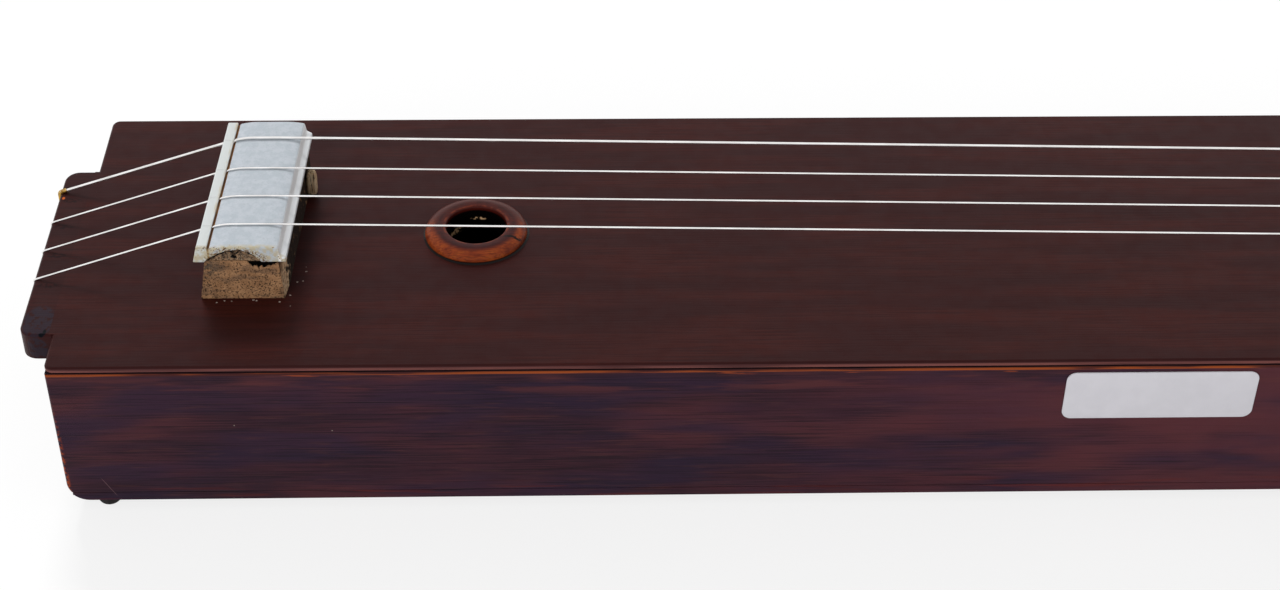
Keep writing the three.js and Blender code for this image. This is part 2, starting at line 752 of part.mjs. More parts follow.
// A flat plate under the plank, with a hole for the post and two ears that carry the worm
function tunerPlate() {
  const tail = -driveDistance - tunerPlateTailReach
  const head = tunerPlateHeadReach
  const half = tunerPlateLength / 2
  const radii = Array(4).fill(tunerPlateCornerRadius)
  const outline = roundedRectangle(tail, -half, head, half, radii)
  outline.holes.push(roundHole(0, 0, postRadius + runningGap, 16))
  for (const [x, y] of [
    [tail + tunerScrewInset, 0],
    [head - tunerScrewInset, half - tunerScrewInset],
    [head - tunerScrewInset, -half + tunerScrewInset],
  ]) {
    outline.holes.push(roundHole(x, y, tunerScrewRadius, 8))
  }
  const base = solid(extrudeUp(outline, plateBottom, plateBottom + tunerPlateThickness, 0, 3))
  const ear = new THREE.Shape()
  ear.moveTo(-driveDistance + earHalfWidth, plateBottom + tunerPlateThickness / 2)
  ear.lineTo(-driveDistance - earHalfWidth, plateBottom + tunerPlateThickness / 2)
  ear.lineTo(-driveDistance - earHalfWidth, wormHeight)
  ear.absarc(-driveDistance, wormHeight, earHalfWidth, Math.PI, 2 * Math.PI)
  ear.holes.push(roundHole(-driveDistance, wormHeight, wormRootRadius + runningGap, 12))
  const inner = solid(extrudeAcross(ear, -earSpan - earThickness, -earSpan))
  const outer = solid(extrudeAcross(ear, earSpan, earSpan + earThickness))
  return geometryOf(base.add(inner).add(outer))
}

// A waisted oval button with a socket for the shaft
function tunerButton() {
  const half = buttonWidth / 2
  const neck = buttonNeckWidth / 2
  const outline = new THREE.Shape()
  outline.moveTo(-neck, 0)
  outline.lineTo(neck, 0)
  const neckBend = buttonLength * buttonNeckBendShare
  const swellBend = buttonLength * buttonSwellBendShare
  const widest = buttonLength * buttonWidestShare
  const crownBend = buttonLength * buttonCrownBendShare
  const tipBend = half * buttonTipBendShare
  outline.bezierCurveTo(neck, neckBend, half, swellBend, half, widest)
  outline.bezierCurveTo(half, crownBend, tipBend, buttonLength, 0, buttonLength)
  outline.bezierCurveTo(-tipBend, buttonLength, -half, crownBend, -half, widest)
  outline.bezierCurveTo(-half, swellBend, -neck, neckBend, -neck, 0)
  const body = extrude(outline, buttonThickness, buttonEdge, 4)
    .translate(0, buttonStandOff, -buttonThickness / 2)
  const socket = alongY(rod(wormRootRadius + glueGap, buttonStandOff - overrun,
    buttonStandOff + buttonSocketDepth, 12))
  return cut(body, socket)
}

// String post: stub in the wheel, shank in the plate and ferrule, waist for the turns, drilled cap
function tunerPost() {
  const shankTop = boxTop + ferruleRimHeight + glueGap
  const capBase = boxTop + postRise - postCapHeight
  const top = boxTop + postRise
  const blank = turned([
    [0, gearBottom], [postStubRadius, gearBottom], [postStubRadius, plateBottom],
    [postRadius, plateBottom], [postRadius, shankTop], [postWaistRadius, shankTop + postCapRound],
    [postWaistRadius, capBase - postCapRound], [postRadius, capBase],
    [postRadius, top - postCapRound], [postRadius - postCapRound, top], [0, top],
  ], 12)
  const hole = alongX(rod(postHoleRadius, -2 * postRadius, 2 * postRadius, 8))
    .translate(0, 0, boxTop + postHoleRise)
  return cut(blank, hole)
}

function ferrule() {
  return turned([
    [postRadius + runningGap, -ferruleDepth], [ferruleRadius, -ferruleDepth], [ferruleRadius, glueGap],
    [ferruleRimRadius, glueGap], [ferruleRimRadius, ferruleRimHeight / 2],
    [ferruleRimRadius - ferruleRimHeight / 2, ferruleRimHeight],
    [postRadius + runningGap, ferruleRimHeight], [postRadius + runningGap, -ferruleDepth],
  ], 12)
}

function tuners() {
  for (const { name, post, side } of courses) {
    const tuner = new THREE.Group()
    tuner.position.set(boxLength + post, side * postSpread, 0)
    assembly.add(tuner)
    place(`tuner_plate_${name}`, tunerPlate(), steel, tuner)
    place(`tuner_post_${name}`, tunerPost(), steel, tuner)
    place(`tuner_ferrule_${name}`, ferrule(), steel, tuner).position.z = boxTop
    place(`tuner_gear_${name}`, wormWheel(), brass, tuner).position.z = wormHeight
    const key = new THREE.Group()
    key.position.set(-driveDistance, 0, wormHeight)
    key.rotation.x = side > 0 ? 0 : Math.PI
    tuner.add(key)
    place(`tuner_worm_${name}`, worm(), steel, key)
    place(`tuner_button_${name}`, tunerButton(), buttonCream, key)
  }
}

// Strings. Each is one unbroken tube from a loop round its pin to its turns round its post.
const stringSides = 6
const turnSteps = 16

function arc(centre, radius, from, to, steps) {
  return Array.from({ length: steps + 1 }, (_, i) => {
    const angle = from + (to - from) * i / steps
    return [centre[0] + radius * Math.cos(angle), centre[1] + radius * Math.sin(angle)]
  })
}

function stringTube(points, radius) {
  const positions = []
  const index = []
  const ways = points.slice(1).map((point, i) => point.clone().sub(points[i]).normalize())
  const tangents = points.map((_, i) => {
    const before = ways[Math.max(i - 1, 0)]
    const after = ways[Math.min(i, ways.length - 1)]
    return before.clone().add(after).normalize()
  })
  const normal = new THREE.Vector3().crossVectors(tangents[0], axisZ).normalize()
  if (normal.length() === 0) normal.copy(axisY)
  points.forEach((point, i) => {
    const turn = new THREE.Quaternion().setFromUnitVectors(tangents[Math.max(i - 1, 0)], tangents[i])
    normal.applyQuaternion(turn)
    const side = new THREE.Vector3().crossVectors(tangents[i], normal)
    for (let j = 0; j < stringSides; j++) {
      const angle = 2 * Math.PI * j / stringSides
      const corner = point.clone()
        .addScaledVector(normal, radius * Math.cos(angle))
        .addScaledVector(side, radius * Math.sin(angle))
      positions.push(corner.x, corner.y, corner.z)
    }
  })
  for (let i = 0; i + 1 < points.length; i++) {
    for (let j = 0; j < stringSides; j++) {
      const here = i * stringSides + j
      const beside = i * stringSides + (j + 1) % stringSides
      index.push(here, beside, here + stringSides, beside, beside + stringSides, here + stringSides)
    }
  }
  const last = (points.length - 1) * stringSides
  for (let j = 1; j + 1 < stringSides; j++) {
    index.push(0, j + 1, j, last, last + j, last + j + 1)
  }
  const geometry = new THREE.BufferGeometry()
  geometry.setAttribute("position", new THREE.Float32BufferAttribute(positions, 3))
  geometry.setIndex(index)
  return geometry
}

// The end of a string, hooked round its pin: from its free end to where it runs up the ledge
function pinHook({ y, radius }) {
  const turnRadius = pinRadius + stringGap + radius
  const x = ledgeFace - stringGap - radius
  const height = boxTop - pinDrop
  const steps = Math.round(pinHookShare * turnSteps)
  const hook = Array.from({ length: steps + 1 }, (_, i) => {
    const angle = 2 * Math.PI * pinHookShare * i / steps
    return new THREE.Vector3(x, y + turnRadius * Math.cos(angle), height - turnRadius * Math.sin(angle))
  })
  return [...hook, straightEnd(hook, 2 * radius)].toReversed()
}

// A point straight on from the end of a run of points
function straightEnd(points, length) {
  const way = points.at(-1).clone().sub(points.at(-2)).normalize()
  return points.at(-1).clone().addScaledVector(way, length)
}

// The turns round the post, upwards from where the string meets it
function postWinding({ y, radius, post, side }) {
  const centre = new THREE.Vector2(boxLength + post, side * postSpread)
  const from = new THREE.Vector2(guidePlace + guideThickness / 2, y)
  const turnRadius = postWaistRadius + windingClearance + radius
  const back = from.clone().sub(centre)
  const first = back.angle() + side * Math.acos(turnRadius / back.length())
  const pitch = 2 * radius + windingGap
  const height = boxTop + windingRise
  const winding = Array.from({ length: windingTurns * turnSteps + 1 }, (_, i) => {
    const turn = i / turnSteps
    const angle = first + side * 2 * Math.PI * turn
    return new THREE.Vector3(centre.x + turnRadius * Math.cos(angle),
      centre.y + turnRadius * Math.sin(angle), height + pitch * turn)
  })
  return [...winding, straightEnd(winding, 4 * radius)]
}

function stringRoute(course) {
  const { y, radius } = course
  const clear = stringGap + radius
  const onLine = ([x, z]) => new THREE.Vector3(x, y, z)
  const bend = stringBendRadius
  const bendCentre = [ledgeFace - clear + bend, boxTop + clear - bend]
  const overEdge = arc(bendCentre, bend, Math.PI, 0.6 * Math.PI, 4).map(onLine)
  const rib = [ribPoint(y, 0), ribPoint(y, ribWidth)]
  const runs = [0, crownRise / 2, crownRise, crownWidth - crownFallWidth]
  const crown = runs.map((run) => new THREE.Vector3(crownStart + run + y * bridgeSkewShare, y,
    crownHeight(run) + clear))
  for (const point of [...rib, ...crown]) point.z += boxTop
  const nut = [-nutThickness / 2, nutThickness / 2].map((offset) =>
    new THREE.Vector3(nutPlace + offset, y, boxTop + nutStringHeight))
  const guide = [-guideThickness / 2, guideThickness / 2].map((offset) =>
    new THREE.Vector3(guidePlace + offset, y, boxTop + guideStringHeight))
  return [...pinHook(course), ...overEdge, ...rib, ...crown, ...nut, ...guide, ...postWinding(course)]
}

// Least free gap between two turns of a winding, measured on its points
function leastGap(points, radius) {
  let least = Infinity
  for (let i = 0; i < points.length; i++) {
    for (let j = i + turnSteps / 2; j < points.length; j++) {
      least = Math.min(least, points[i].distanceTo(points[j]) - 2 * radius)
    }
  }
  return least
}

function strings() {
  for (const course of courses) {
    place(`string_${course.name}`, stringTube(stringRoute(course), course.radius), steel)
    const gap = leastGap(postWinding(course), course.radius)
    console.log(`string ${course.name}: least gap between turns ${gap.toFixed(2)} mm`)
  }
}

soundBox()
endWalls()
linings()
braces()
feet()
tailLedge()
soundRing()
bridgePlate()
bridgeBlock()
bridgeWedge()
nutAndGuide()
headPlank()
tuners()
strings()

export default assembly
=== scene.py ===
"""Box tanpura: the finish of its boards, bridge, ring, strings and tuners, and the studio round it.

Sizes are in millimetres, apart from those of properties, points and sockets, which are in metres.
Places are counted from the tail end of the box, its middle line and the top of its soundboard.
"""

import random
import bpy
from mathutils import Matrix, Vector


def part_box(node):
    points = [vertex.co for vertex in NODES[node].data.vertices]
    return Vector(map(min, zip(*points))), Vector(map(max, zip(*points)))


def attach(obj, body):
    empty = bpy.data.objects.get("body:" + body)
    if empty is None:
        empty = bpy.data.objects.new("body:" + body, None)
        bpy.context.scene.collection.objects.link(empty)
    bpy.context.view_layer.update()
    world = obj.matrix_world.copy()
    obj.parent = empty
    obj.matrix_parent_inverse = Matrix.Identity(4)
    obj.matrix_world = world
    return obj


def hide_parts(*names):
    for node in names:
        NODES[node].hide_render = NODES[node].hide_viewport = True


bl_info = {
    "name": "Box Tanpura",
    "version": (1, 0, 0),
    "blender": (4, 5, 0),
    "location": "View3D > Sidebar > Tanpura",
    "description": "Dresses the frame of a box tanpura with its woods, plate, strings and tuners",
    "category": "Object",
}

from math import acos, atan2, copysign, cos, pi, radians, sin, tan

import bmesh
import bpy
from mathutils import Matrix, Vector, noise
from mathutils.geometry import tessellate_polygon

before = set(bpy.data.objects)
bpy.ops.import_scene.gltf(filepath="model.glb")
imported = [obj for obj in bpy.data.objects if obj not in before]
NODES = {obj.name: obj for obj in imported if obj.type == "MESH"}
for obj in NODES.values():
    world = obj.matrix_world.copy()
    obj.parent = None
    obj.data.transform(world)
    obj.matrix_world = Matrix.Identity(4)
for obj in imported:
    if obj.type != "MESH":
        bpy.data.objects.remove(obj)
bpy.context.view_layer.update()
MM = 0.001


def reach_of(node, end, axis):
    """Where a node of the frame starts (end 0) or ends (end 1) along an axis, in millimetres."""
    return getattr(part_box(node)[end], axis) / MM


# The box, read from the frame
TAIL = reach_of("soundboard", 0, "x")
HEAD = reach_of("soundboard", 1, "x") - TAIL
FRONT = reach_of("soundboard", 0, "y")
BOARD_TOP = reach_of("soundboard", 1, "z")
BOX_BOTTOM = reach_of("back_board", 0, "z") - BOARD_TOP
LEDGE_FACE = reach_of("tail_ledge", 0, "x") - TAIL

# Strings and their pins: the far string is the wound bass
STRING_PLACES = (36, 10.7, -12.2, -34.6)
STRING_SIDES = 14
SEAT = 0.03
PIN_DROP = 11
PIN_RADIUS = 1.2
PIN_HEAD_RADIUS = 2.1
PIN_HEAD_THICKNESS = 1
PIN_REACH = TAIL + LEDGE_FACE - reach_of("string_pin_1", 0, "x")
PIN_DEPTH = 10
HOOK_TURN = 0.68
HOOK_END = 2.5
BEND_RADIUS = 1.4
STRING_GAP = 0.3
EDGE_BITE = 0.25
WRAP_WIRE = 0.24
WRAP_PITCH = 0.62

# Bridge
BRIDGE_LENGTH = 103
BRIDGE_NEAR = -BRIDGE_LENGTH / 2
BRIDGE_TAIL = 65.2
BRIDGE_SKEW = 0.028
BRIDGE_WAY = (1, -BRIDGE_SKEW, 0)
PLATE_UNDERSIDE = 22.4
RIB_LEAN = 2.2
RIB_WIDTH = 4.9
RIB_HEIGHT = 31.1
RIB_HOLE_HEIGHT = 29.1
RIB_HOLE_RISE = 0.6
SLOT_WIDTH = 0.95
SLOT_FLOOR = 29.3
CROWN_WIDTH = 31.75
CROWN_TOP = 31.5
CROWN_RISE = 9
CROWN_RISE_DROP = 1.3
CROWN_FALL = 9
CROWN_FALL_DROP = 1
STEP_RUN = 0.8
STEP_HEIGHT = 24.6
FLANGE_WIDTH = 2.5
FLANGE_FALL = 1.6
ARCH_INSET = 5.2
ARCH_TAIL_RUN = 16
ARCH_HEAD_RUN = 10.5
ARCH_HEIGHT = 6.9
RIB_TAIL = BRIDGE_TAIL + RIB_LEAN
RIB_HEAD = RIB_TAIL + RIB_WIDTH
CROWN_START = RIB_HEAD + SLOT_WIDTH
CROWN_END = CROWN_START + CROWN_WIDTH
PLATE_HEAD = CROWN_END + STEP_RUN + FLANGE_WIDTH
ARCH_PEAK = BRIDGE_TAIL + ARCH_INSET + ARCH_TAIL_RUN

# Nut, guide and tuners
NUT_PLACE = 820
NUT_THICKNESS = 6
NUT_STRING = 17.8
GUIDE_PLACE = 844
GUIDE_THICKNESS = 5
GUIDE_STRING = 14
POST_PLACES = ((870, 38), (920, 38), (920, -38), (870, -38))
POST_RADIUS = 3
POST_WAIST = 2.6
POST_STUB = 2.2
POST_RISE = 17
POST_CAP = 4.2
POST_HOLE_RISE = 13
POST_HOLE_RADIUS = 0.9
FERRULE_RIM = 5.4
FERRULE_RADIUS = 4.4
FERRULE_RIM_HEIGHT = 1.5
FERRULE_DEPTH = 9
WINDING_RISE = 5.6
WINDING_STEPS = 28
PLATE_BOTTOM = reach_of("tuner_plate_1", 1, "z") - BOARD_TOP - 1.2
WORM_PITCH = 3
WORM_RADIUS = 3.2
WORM_TIP = 4.05
WORM_ROOT = 2.05
WHEEL_TEETH = 14
GEAR_RADIUS = WHEEL_TEETH * WORM_PITCH / (2 * pi)
DRIVE_DISTANCE = GEAR_RADIUS + WORM_RADIUS
WORM_HEIGHT = -22.05
BUTTON_STAND_OFF = 24
BUTTON_LENGTH = 17
BUTTON_WIDTH = 20
BUTTON_THICKNESS = 7
BUTTON_NECK = 8.4
BUTTON_EDGE = 2.6
SCREW_PLACES = ((-DRIVE_DISTANCE - 3, 0), (5, 11), (5, -11))

# Ring round the sound hole
RING_PLACE = 192.5
RING_RADIUS = 25
RING_BORE = 14.7
RING_HEIGHT = 5.4
RING_TOP = 18
RING_FOOT = 0.9
RING_LIP = 1.1
RING_SPIGOT = 16.6
RING_DEPTH = 8.4
GLUE_LINE = 0.8

FOOT_RADIUS = 6.3
FOOT_FLAT = 4
FOOT_HEIGHT = 6

# Blank plate on the front side
BLANK_START = 466.5
BLANK_TOP = -6.9
BLANK_CORNER = 4.6
BLANK_THICKNESS = 0.9

# The camera's place and tilt, and how far the floor reaches in metres
CAMERA_PLACE = Vector((-0.219127, -0.878704, 0.747507))
CAMERA_PITCH = radians(38.474)
CAMERA_YAW = radians(1.696)
CAMERA_ROLL = radians(0.651)
CAMERA_LENS = 63.1
FLOOR_REACH = 20


def linear(code):
    """An sRGB hex colour as linear red, green, blue and alpha."""
    channels = [int(code[i : i + 2], 16) / 255 for i in (0, 2, 4)]
    return tuple(
        c / 12.92 if c <= 0.04045 else ((c + 0.055) / 1.055) ** 2.4 for c in channels
    ) + (1,)


def at(x, y, z):
    """A point in metres, from millimetres along, across and above the soundboard's tail end."""
    return Vector((TAIL + x, y, BOARD_TOP + z)) * MM


def skewed(x, y, z):
    """A point of the bridge, which stands slightly aslant."""
    return at(x + y * BRIDGE_SKEW, y, z)


# Properties


def size_property(name, description, size):
    return bpy.props.FloatProperty(
        name=name, description=description, default=size * MM, unit="LENGTH"
    )


def colour_property(name, description, code):
    return bpy.props.FloatVectorProperty(
        name=name, description=description, default=linear(code), subtype="COLOR", size=4
    )


class TanpuraSizes(bpy.types.PropertyGroup):
    """Sizes that a user would change"""

    bass_radius: size_property("Bass String Radius", "Radius of the far, wound string", 0.72)
    treble_radius: size_property("Plain String Radius", "Radius of the three plain strings", 0.5)
    plate_length: size_property("Blank Plate Length", "Length of the plate on the front side", 89)
    plate_height: size_property("Blank Plate Height", "Height of the plate on the front side", 27.6)
    fibre_width: size_property("Wood Fibre Width", "Width of the streaks in the stained wood", 0.9)


class TanpuraColours(bpy.types.PropertyGroup):
    """Colours that a user would change"""

    board: colour_property("Soundboard", "Stain of the soundboard, ledge and head plank", "30120f")
    side: colour_property("Sides", "Stain of the sides and the back", "351c26")
    plate: colour_property("Bridge Plate", "Moulded plate of the bridge, nut and guide", "c4cad1")
    ring: colour_property("Sound Hole Ring", "Stain of the ring on its outer slope", "86391a")
    button: colour_property("Tuner Buttons", "Moulded buttons of the tuners", "e6dcc2")


def string_radius(index):
    sizes = bpy.context.scene.tanpura_sizes
    return (sizes.treble_radius if index else sizes.bass_radius) / MM


def fitted(thing, **settings):
    """A node, lamp, camera or modifier with its settings."""
    for key, value in settings.items():
        setattr(thing, key, value)
    return thing


# Materials

SOFT = {"interpolation_type": "SMOOTHSTEP"}
ORIGIN = {"X": TAIL, "Y": 0, "Z": BOARD_TOP}


class Nodes:
    """The nodes of a material or of the world"""

    def __init__(self, owner):
        owner.use_nodes = True
        owner.node_tree.nodes.clear()
        self.owner = owner

    def add(self, kind, inputs=None, output=0, **settings):
        """Adds a node with its settings and links, and returns one of its outputs.

        An input is a value, or the output of another node.
        """
        tree = self.owner.node_tree
        made = fitted(tree.nodes.new("ShaderNode" + kind), **settings)
        for key, value in (inputs or {}).items():
            if isinstance(value, bpy.types.NodeSocket):
                tree.links.new(value, made.inputs[key])
            else:
                made.inputs[key].default_value = value
        return made.outputs[output] if made.outputs else None


class Finish(Nodes):
    """A material whose colours are laid over each other, with patterns in real millimetres"""

    def __init__(self, name, colour):
        super().__init__(bpy.data.materials.new(name))
        self.where = self.add("TexCoord", output="Object")
        self.colour = linear(colour) if isinstance(colour, str) else tuple(colour)

    def grain(self, where, scale, detail, low, high, to):
        """A noise as 0 where it is below low, and as to where it is above high."""
        value = self.add("TexNoise", {"Vector": where, "Scale": scale, "Detail": detail}, "Fac")
        return self.add("MapRange", {0: value, 1: low, 2: high, 4: to}, **SOFT)

    def flecks(self, size, low, high, to=1, detail=2):
        return self.grain(self.where, 1 / (size * MM), detail, low, high, to)

    def streaks(self, length, width, low, high, to=1, shift=0, along="X", detail=3):
        scale = [1 / (width * MM)] * 3
        scale["XYZ".index(along)] = 1 / (length * MM)
        stretch = {"Vector": self.where, "Location": [shift] * 3, "Scale": scale}
        return self.grain(self.add("Mapping", stretch), 1, detail, low, high, to)

    def fade(self, axis, start, end, before, after, **settings):
        """One value before a place on an axis, another after the next, and a slope between them."""
        place = self.add("SeparateXYZ", {0: self.where}, axis)
        start, end = ((ORIGIN[axis] + limit) * MM for limit in (start, end))
        slope = {0: place, 1: start, 2: end, 3: before, 4: after}
        return self.add("MapRange", slope, **settings)

    def between(self, along, low, high, soft):
        """1 between two places on an axis, in a direction or of a value, with soft edges."""
        start = 0
        if isinstance(along, str):
            start = ORIGIN[along]
            along = self.add("SeparateXYZ", {0: self.where}, along)
        elif isinstance(along, tuple):
            start = sum(a * b for a, b in zip(along, ORIGIN.values()))
            way = {0: self.where, 1: along}
            along = self.add("VectorMath", way, "Value", operation="DOT_PRODUCT")
        low, high, edge = (start + low) * MM, (start + high) * MM, soft * MM
        rise = {0: along, 1: low - edge, 2: low + edge}
        fall = {0: along, 1: high - edge, 2: high + edge, 3: 1, 4: 0}
        both = [self.add("MapRange", slope, **SOFT) for slope in (rise, fall)]
        return self.add("Math", dict(enumerate(both)), operation="MULTIPLY")

    def spot(self, centre, size, shape=0.55):
        """1 round a place on the instrument, and 0 beyond that size."""
        shrink = {
            "Vector": self.where,
            "Location": [-c / (s * MM) for c, s in zip(at(*centre), size)],
            "Scale": [1 / (s * MM) for s in size],
        }
        moved = self.add("Mapping", shrink)
        away = self.add("VectorMath", {0: moved}, "Value", operation="LENGTH")
        return self.add("MapRange", {0: away, 1: shape, 2: 1, 3: 1, 4: 0}, **SOFT)

    def facing_up(self, low, high, before=0, after=1):
        """How far a surface faces up is 1 where it is level, 0 upright and -1 below an overhang."""
        up = self.add("SeparateXYZ", {0: self.add("TexCoord", output="Normal")}, "Z")
        return self.add("MapRange", {0: up, 1: low, 2: high, 3: before, 4: after})

    def mixed(self, colour, over, *masks):
        """A colour with another laid over it where all of the masks are 1."""
        share = masks[0]
        for mask in masks[1:]:
            share = self.add("Math", {0: share, 1: mask}, operation="MULTIPLY")
        colour, over = (linear(c) if isinstance(c, str) else c for c in (colour, over))
        return self.add("Mix", {0: share, 6: colour, 7: over}, 2, data_type="RGBA")

    def lay(self, over, *masks):
        self.colour = self.mixed(self.colour, over, *masks)

    def finished(self, *relief, **sockets):
        """The material with its shader. relief is pairs of a height and its depth."""
        lie = {}
        for height, depth in relief:
            lie = {"Normal": self.add("Bump", {"Height": height, "Distance": depth * MM, **lie})}
        sockets = {key.replace("_", " "): value for key, value in sockets.items()}
        shader = self.add("BsdfPrincipled", {"Base Color": self.colour, **sockets, **lie})
        self.add("OutputMaterial", {"Surface": shader})
        return self.owner


def stained_toon(name, base, dark, light, marks=None):
    """Toon wood, planed, stained dark and rubbed with a thin satin lacquer.

    The eye gets an even dark colour with fine darker lines along the plank, slow patches of redder
    and bluer stain, and a faint cool sheen where the lacquer meets the light.
    """
    wood = Finish(name, base)
    fibre = bpy.context.scene.tanpura_sizes.fibre_width / MM
    fine = wood.streaks(38, fibre, 0.42, 0.66, 0.75, detail=4)
    pores = wood.streaks(6, 0.45, 0.6, 0.72, 0.5, 5.3, detail=1)
    wood.lay(light, wood.streaks(110, 15, 0.42, 0.62, 1, 9.1))
    wood.lay(dark, fine)
    wood.lay(dark, pores)
    if marks:
        marks(wood)
    rough = wood.add("MapRange", {0: wood.flecks(9, 0.3, 0.7), 3: 0.42, 4: 0.52})
    return wood.finished(
        (fine, -0.02),
        (pores, -0.02),
        Roughness=rough,
        IOR=1.45,
        Specular_IOR_Level=0.13,
        Specular_Tint=linear("cee7ff"),
    )


def board_marks(wood):
    """The edge of the soundboard, paler below its arris: a painted highlight along the edge."""
    # Painted highlight: the band below the arris laid paler, and paler pink again in streaks
    wood.lay("482827", wood.between("Z", -3.2, -0.8, 0.25))
    rubbed = wood.between("Z", -2.9, -1.2, 0.3)
    wood.lay("7c4a44", rubbed, wood.streaks(70, 2.5, 0.3, 0.6, 0.8, 1.9))


def ledge_marks(wood):
    """Worn patches at the near corner of the ledge, and dark smudges beside the strings."""
    blotch = wood.flecks(2.4, 0.36, 0.5, 0.85, detail=4)
    smudge = wood.flecks(1.6, 0.46, 0.54, 0.8, detail=4)
    for tint, centre, size, shape, *mask in (
        ("2b2129", (-8, -66.5, 0), (8, 13, 2.5), 0.8, blotch),
        ("2b2129", (-8.2, -76, -8), (5.6, 2, 7), 0.8, blotch),
        ("170605", (-9, 29, 0), (6, 2.4, 2), 0.55, smudge),
        ("170605", (-9.4, 7.2, 0), (6, 2.4, 2), 0.55, smudge),
        ("170605", (-8.8, -16, 0), (6, 2.4, 2), 0.55, smudge),
        ("170605", (-8.8, -39.2, 0), (6, 2.4, 2), 0.55, smudge),
        ("020102", (-5.2, -75.6, -0.3), (1.6, 1.2, 1.8), 0.55),
        ("020102", (-3.9, -74, 0), (1, 2.6, 1.2), 0.55),
        ("c8602c", (-13.7, 31, 0), (0.9, 1.3, 1), 0.55),
    ):
        wood.lay(tint, wood.spot(centre, size, shape), *mask)


def side_marks(wood):
    """Worn lines along the top edge of the sides, redder stain, and flecks down their arrises."""
    head = wood.fade("X", 290, 520, 0, 0.95, **SOFT)
    wood.lay("48232a", head, wood.streaks(90, 14, 0.34, 0.58, 1, 21))
    for tint, *streak in (
        ("4c262b", 85, 19, 0.42, 0.64, 0.75, 31, "X", 1.2),
        ("271a2e", 80, 20, 0.42, 0.64, 0.7, 43, "X", 1.2),
        ("5a332d", 20, 1.8, 0.54, 0.72, 0.22, 57, "X", 4),
        ("1c1017", 34, 0.7, 0.5, 0.64, 0.5, 71, "X", 4),
        ("150b10", 90, 0.5, 0.58, 0.66, 0.7, 83, "X", 2),
    ):
        wood.lay(tint, wood.streaks(*streak))
    wood.lay("54292d", head, wood.streaks(90, 18, 0.34, 0.58, 0.75, 91))
    # The seam, the rubbed line below it, its shoulder, and redder stain above and below the middle
    for tint, low, high, soft, *streak in (
        ("1d0e11", -4.3, -3, 0.15),
        ("45211f", -5.2, -4.15, 0.2),
        ("a04d1f", -5.2, -4.15, 0.2, 46, 2, 0.38, 0.56, 0.8, 6.6),
        ("8c401f", -6.4, -4.8, 0.6, 26, 2, 0.6, 0.68, 0.8, 3.2, "X", 5),
        ("542a2b", -17, -6, 4, 55, 6, 0.52, 0.66, 0.7, 12.4),
        ("5a2320", BOX_BOTTOM, BOX_BOTTOM + 9, 3, 80, 4, 0.54, 0.66, 0.7, 15),
    ):
        band = wood.between("Z", low, high, soft)
        wood.lay(tint, band, *([wood.streaks(*streak)] if streak else ()))
    tail = wood.fade("X", 1, 2.4, 1, 0)
    lower = wood.fade("Z", -65, -20, 1, 0)
    arris = wood.between("Y", FRONT - 1, FRONT + 1.4, 0.3)
    wood.lay("963f17", tail, lower, arris, wood.flecks(1.5, 0.48, 0.56, detail=3))
    # A scratch aslant above the tail foot, and two pale specks
    way = (0.881, 0, 0.474)
    start = way[0] * 17.2 - way[2] * 68.3
    scratch = wood.between(way, start - 0.12, start + 0.12, 0.08)
    length = wood.between("Z", -78.5, -68.5, 1.5)
    wood.lay("6b5055", scratch, length, wood.between("Y", FRONT - 1, FRONT + 0.5, 0.1))
    for x, z in ((82.7, -35.3), (127.6, -39)):
        wood.lay("7c706a", wood.spot((x, FRONT, z), (0.42, 0.5, 0.45)))


def bare_softwood():
    """Pine, sawn and left bare: pale, matt, with broad yellow and brown growth lines."""
    wood = Finish("bare_pine", "8d6a46")
    lines = wood.streaks(90, 2.2, 0.35, 0.65)
    wood.lay("b3925f", lines)
    return wood.finished((lines, 0.1), Roughness=0.8, IOR=1.45)


def rough_mango(name, marks):
    """Mango wood, sawn across and never sanded: tan, matt and furry, with small dark pores."""
    wood = Finish(name, "956e4e")
    fur = wood.flecks(0.8, 0.3, 0.7, detail=5)
    pores = wood.flecks(0.85, 0.56, 0.63, 0.85, detail=4)
    wood.lay("ad835f", wood.flecks(5, 0.35, 0.65))
    wood.lay("6f5644", wood.streaks(9, 3, 0.48, 0.62, 0.7, 2.2))
    wood.lay("b98d68", wood.streaks(4, 0.5, 0.58, 0.7, 0.6))
    wood.lay("3a2a20", pores)
    marks(wood)
    relief = ((fur, 0.16), (pores, -0.2))
    return wood.finished(*relief, Roughness=0.9, IOR=1.4, Specular_IOR_Level=0.2)


def block_marks_and_shade(wood):
    """Greyer wood at the upper tail corner of the near end, paler wood at the near end of the head
    side, and painted shade on the rest of the head side and in the notch under the plate.
    """
    grey = wood.spot((68, BRIDGE_NEAR, 19), (15, 9, 11), 0.1)
    wood.lay("54493f", grey, wood.flecks(1.5, 0.34, 0.54, 0.9))
    head = wood.between(BRIDGE_WAY, 105, 130, 0.5)
    cut = wood.between("Y", BRIDGE_NEAR + 2.2, BRIDGE_NEAR + 20, 0.4)
    wood.lay("f0cda6", head, cut, wood.flecks(1.6, 0.3, 0.6, 0.85))
    # Painted shade: the head side beyond its near end laid almost black, with a ragged edge
    shift = wood.flecks(4, 0.3, 0.7, 8 * MM, detail=4)
    across = wood.add("SeparateXYZ", {0: wood.where}, "Y")
    ragged = wood.add("Math", {0: shift, 1: across}, operation="ADD")
    beyond = wood.between(ragged, BRIDGE_NEAR + 17.6, 2 * BRIDGE_LENGTH, 0.5)
    wood.lay("150c09", head, beyond, wood.flecks(3, 0.2, 0.4, 0.97))
    # Painted shade: almost black in the notch under the plate, behind the near end
    shaded_notch = wood.between(BRIDGE_WAY, 88.5, 104.6, 0.4)
    under = wood.between("Z", 16, 24, 0.2)
    behind = wood.between("Y", BRIDGE_NEAR + 2.3, BRIDGE_NEAR + 30, 0.2)
    wood.lay("0a0605", shaded_notch, under, behind)


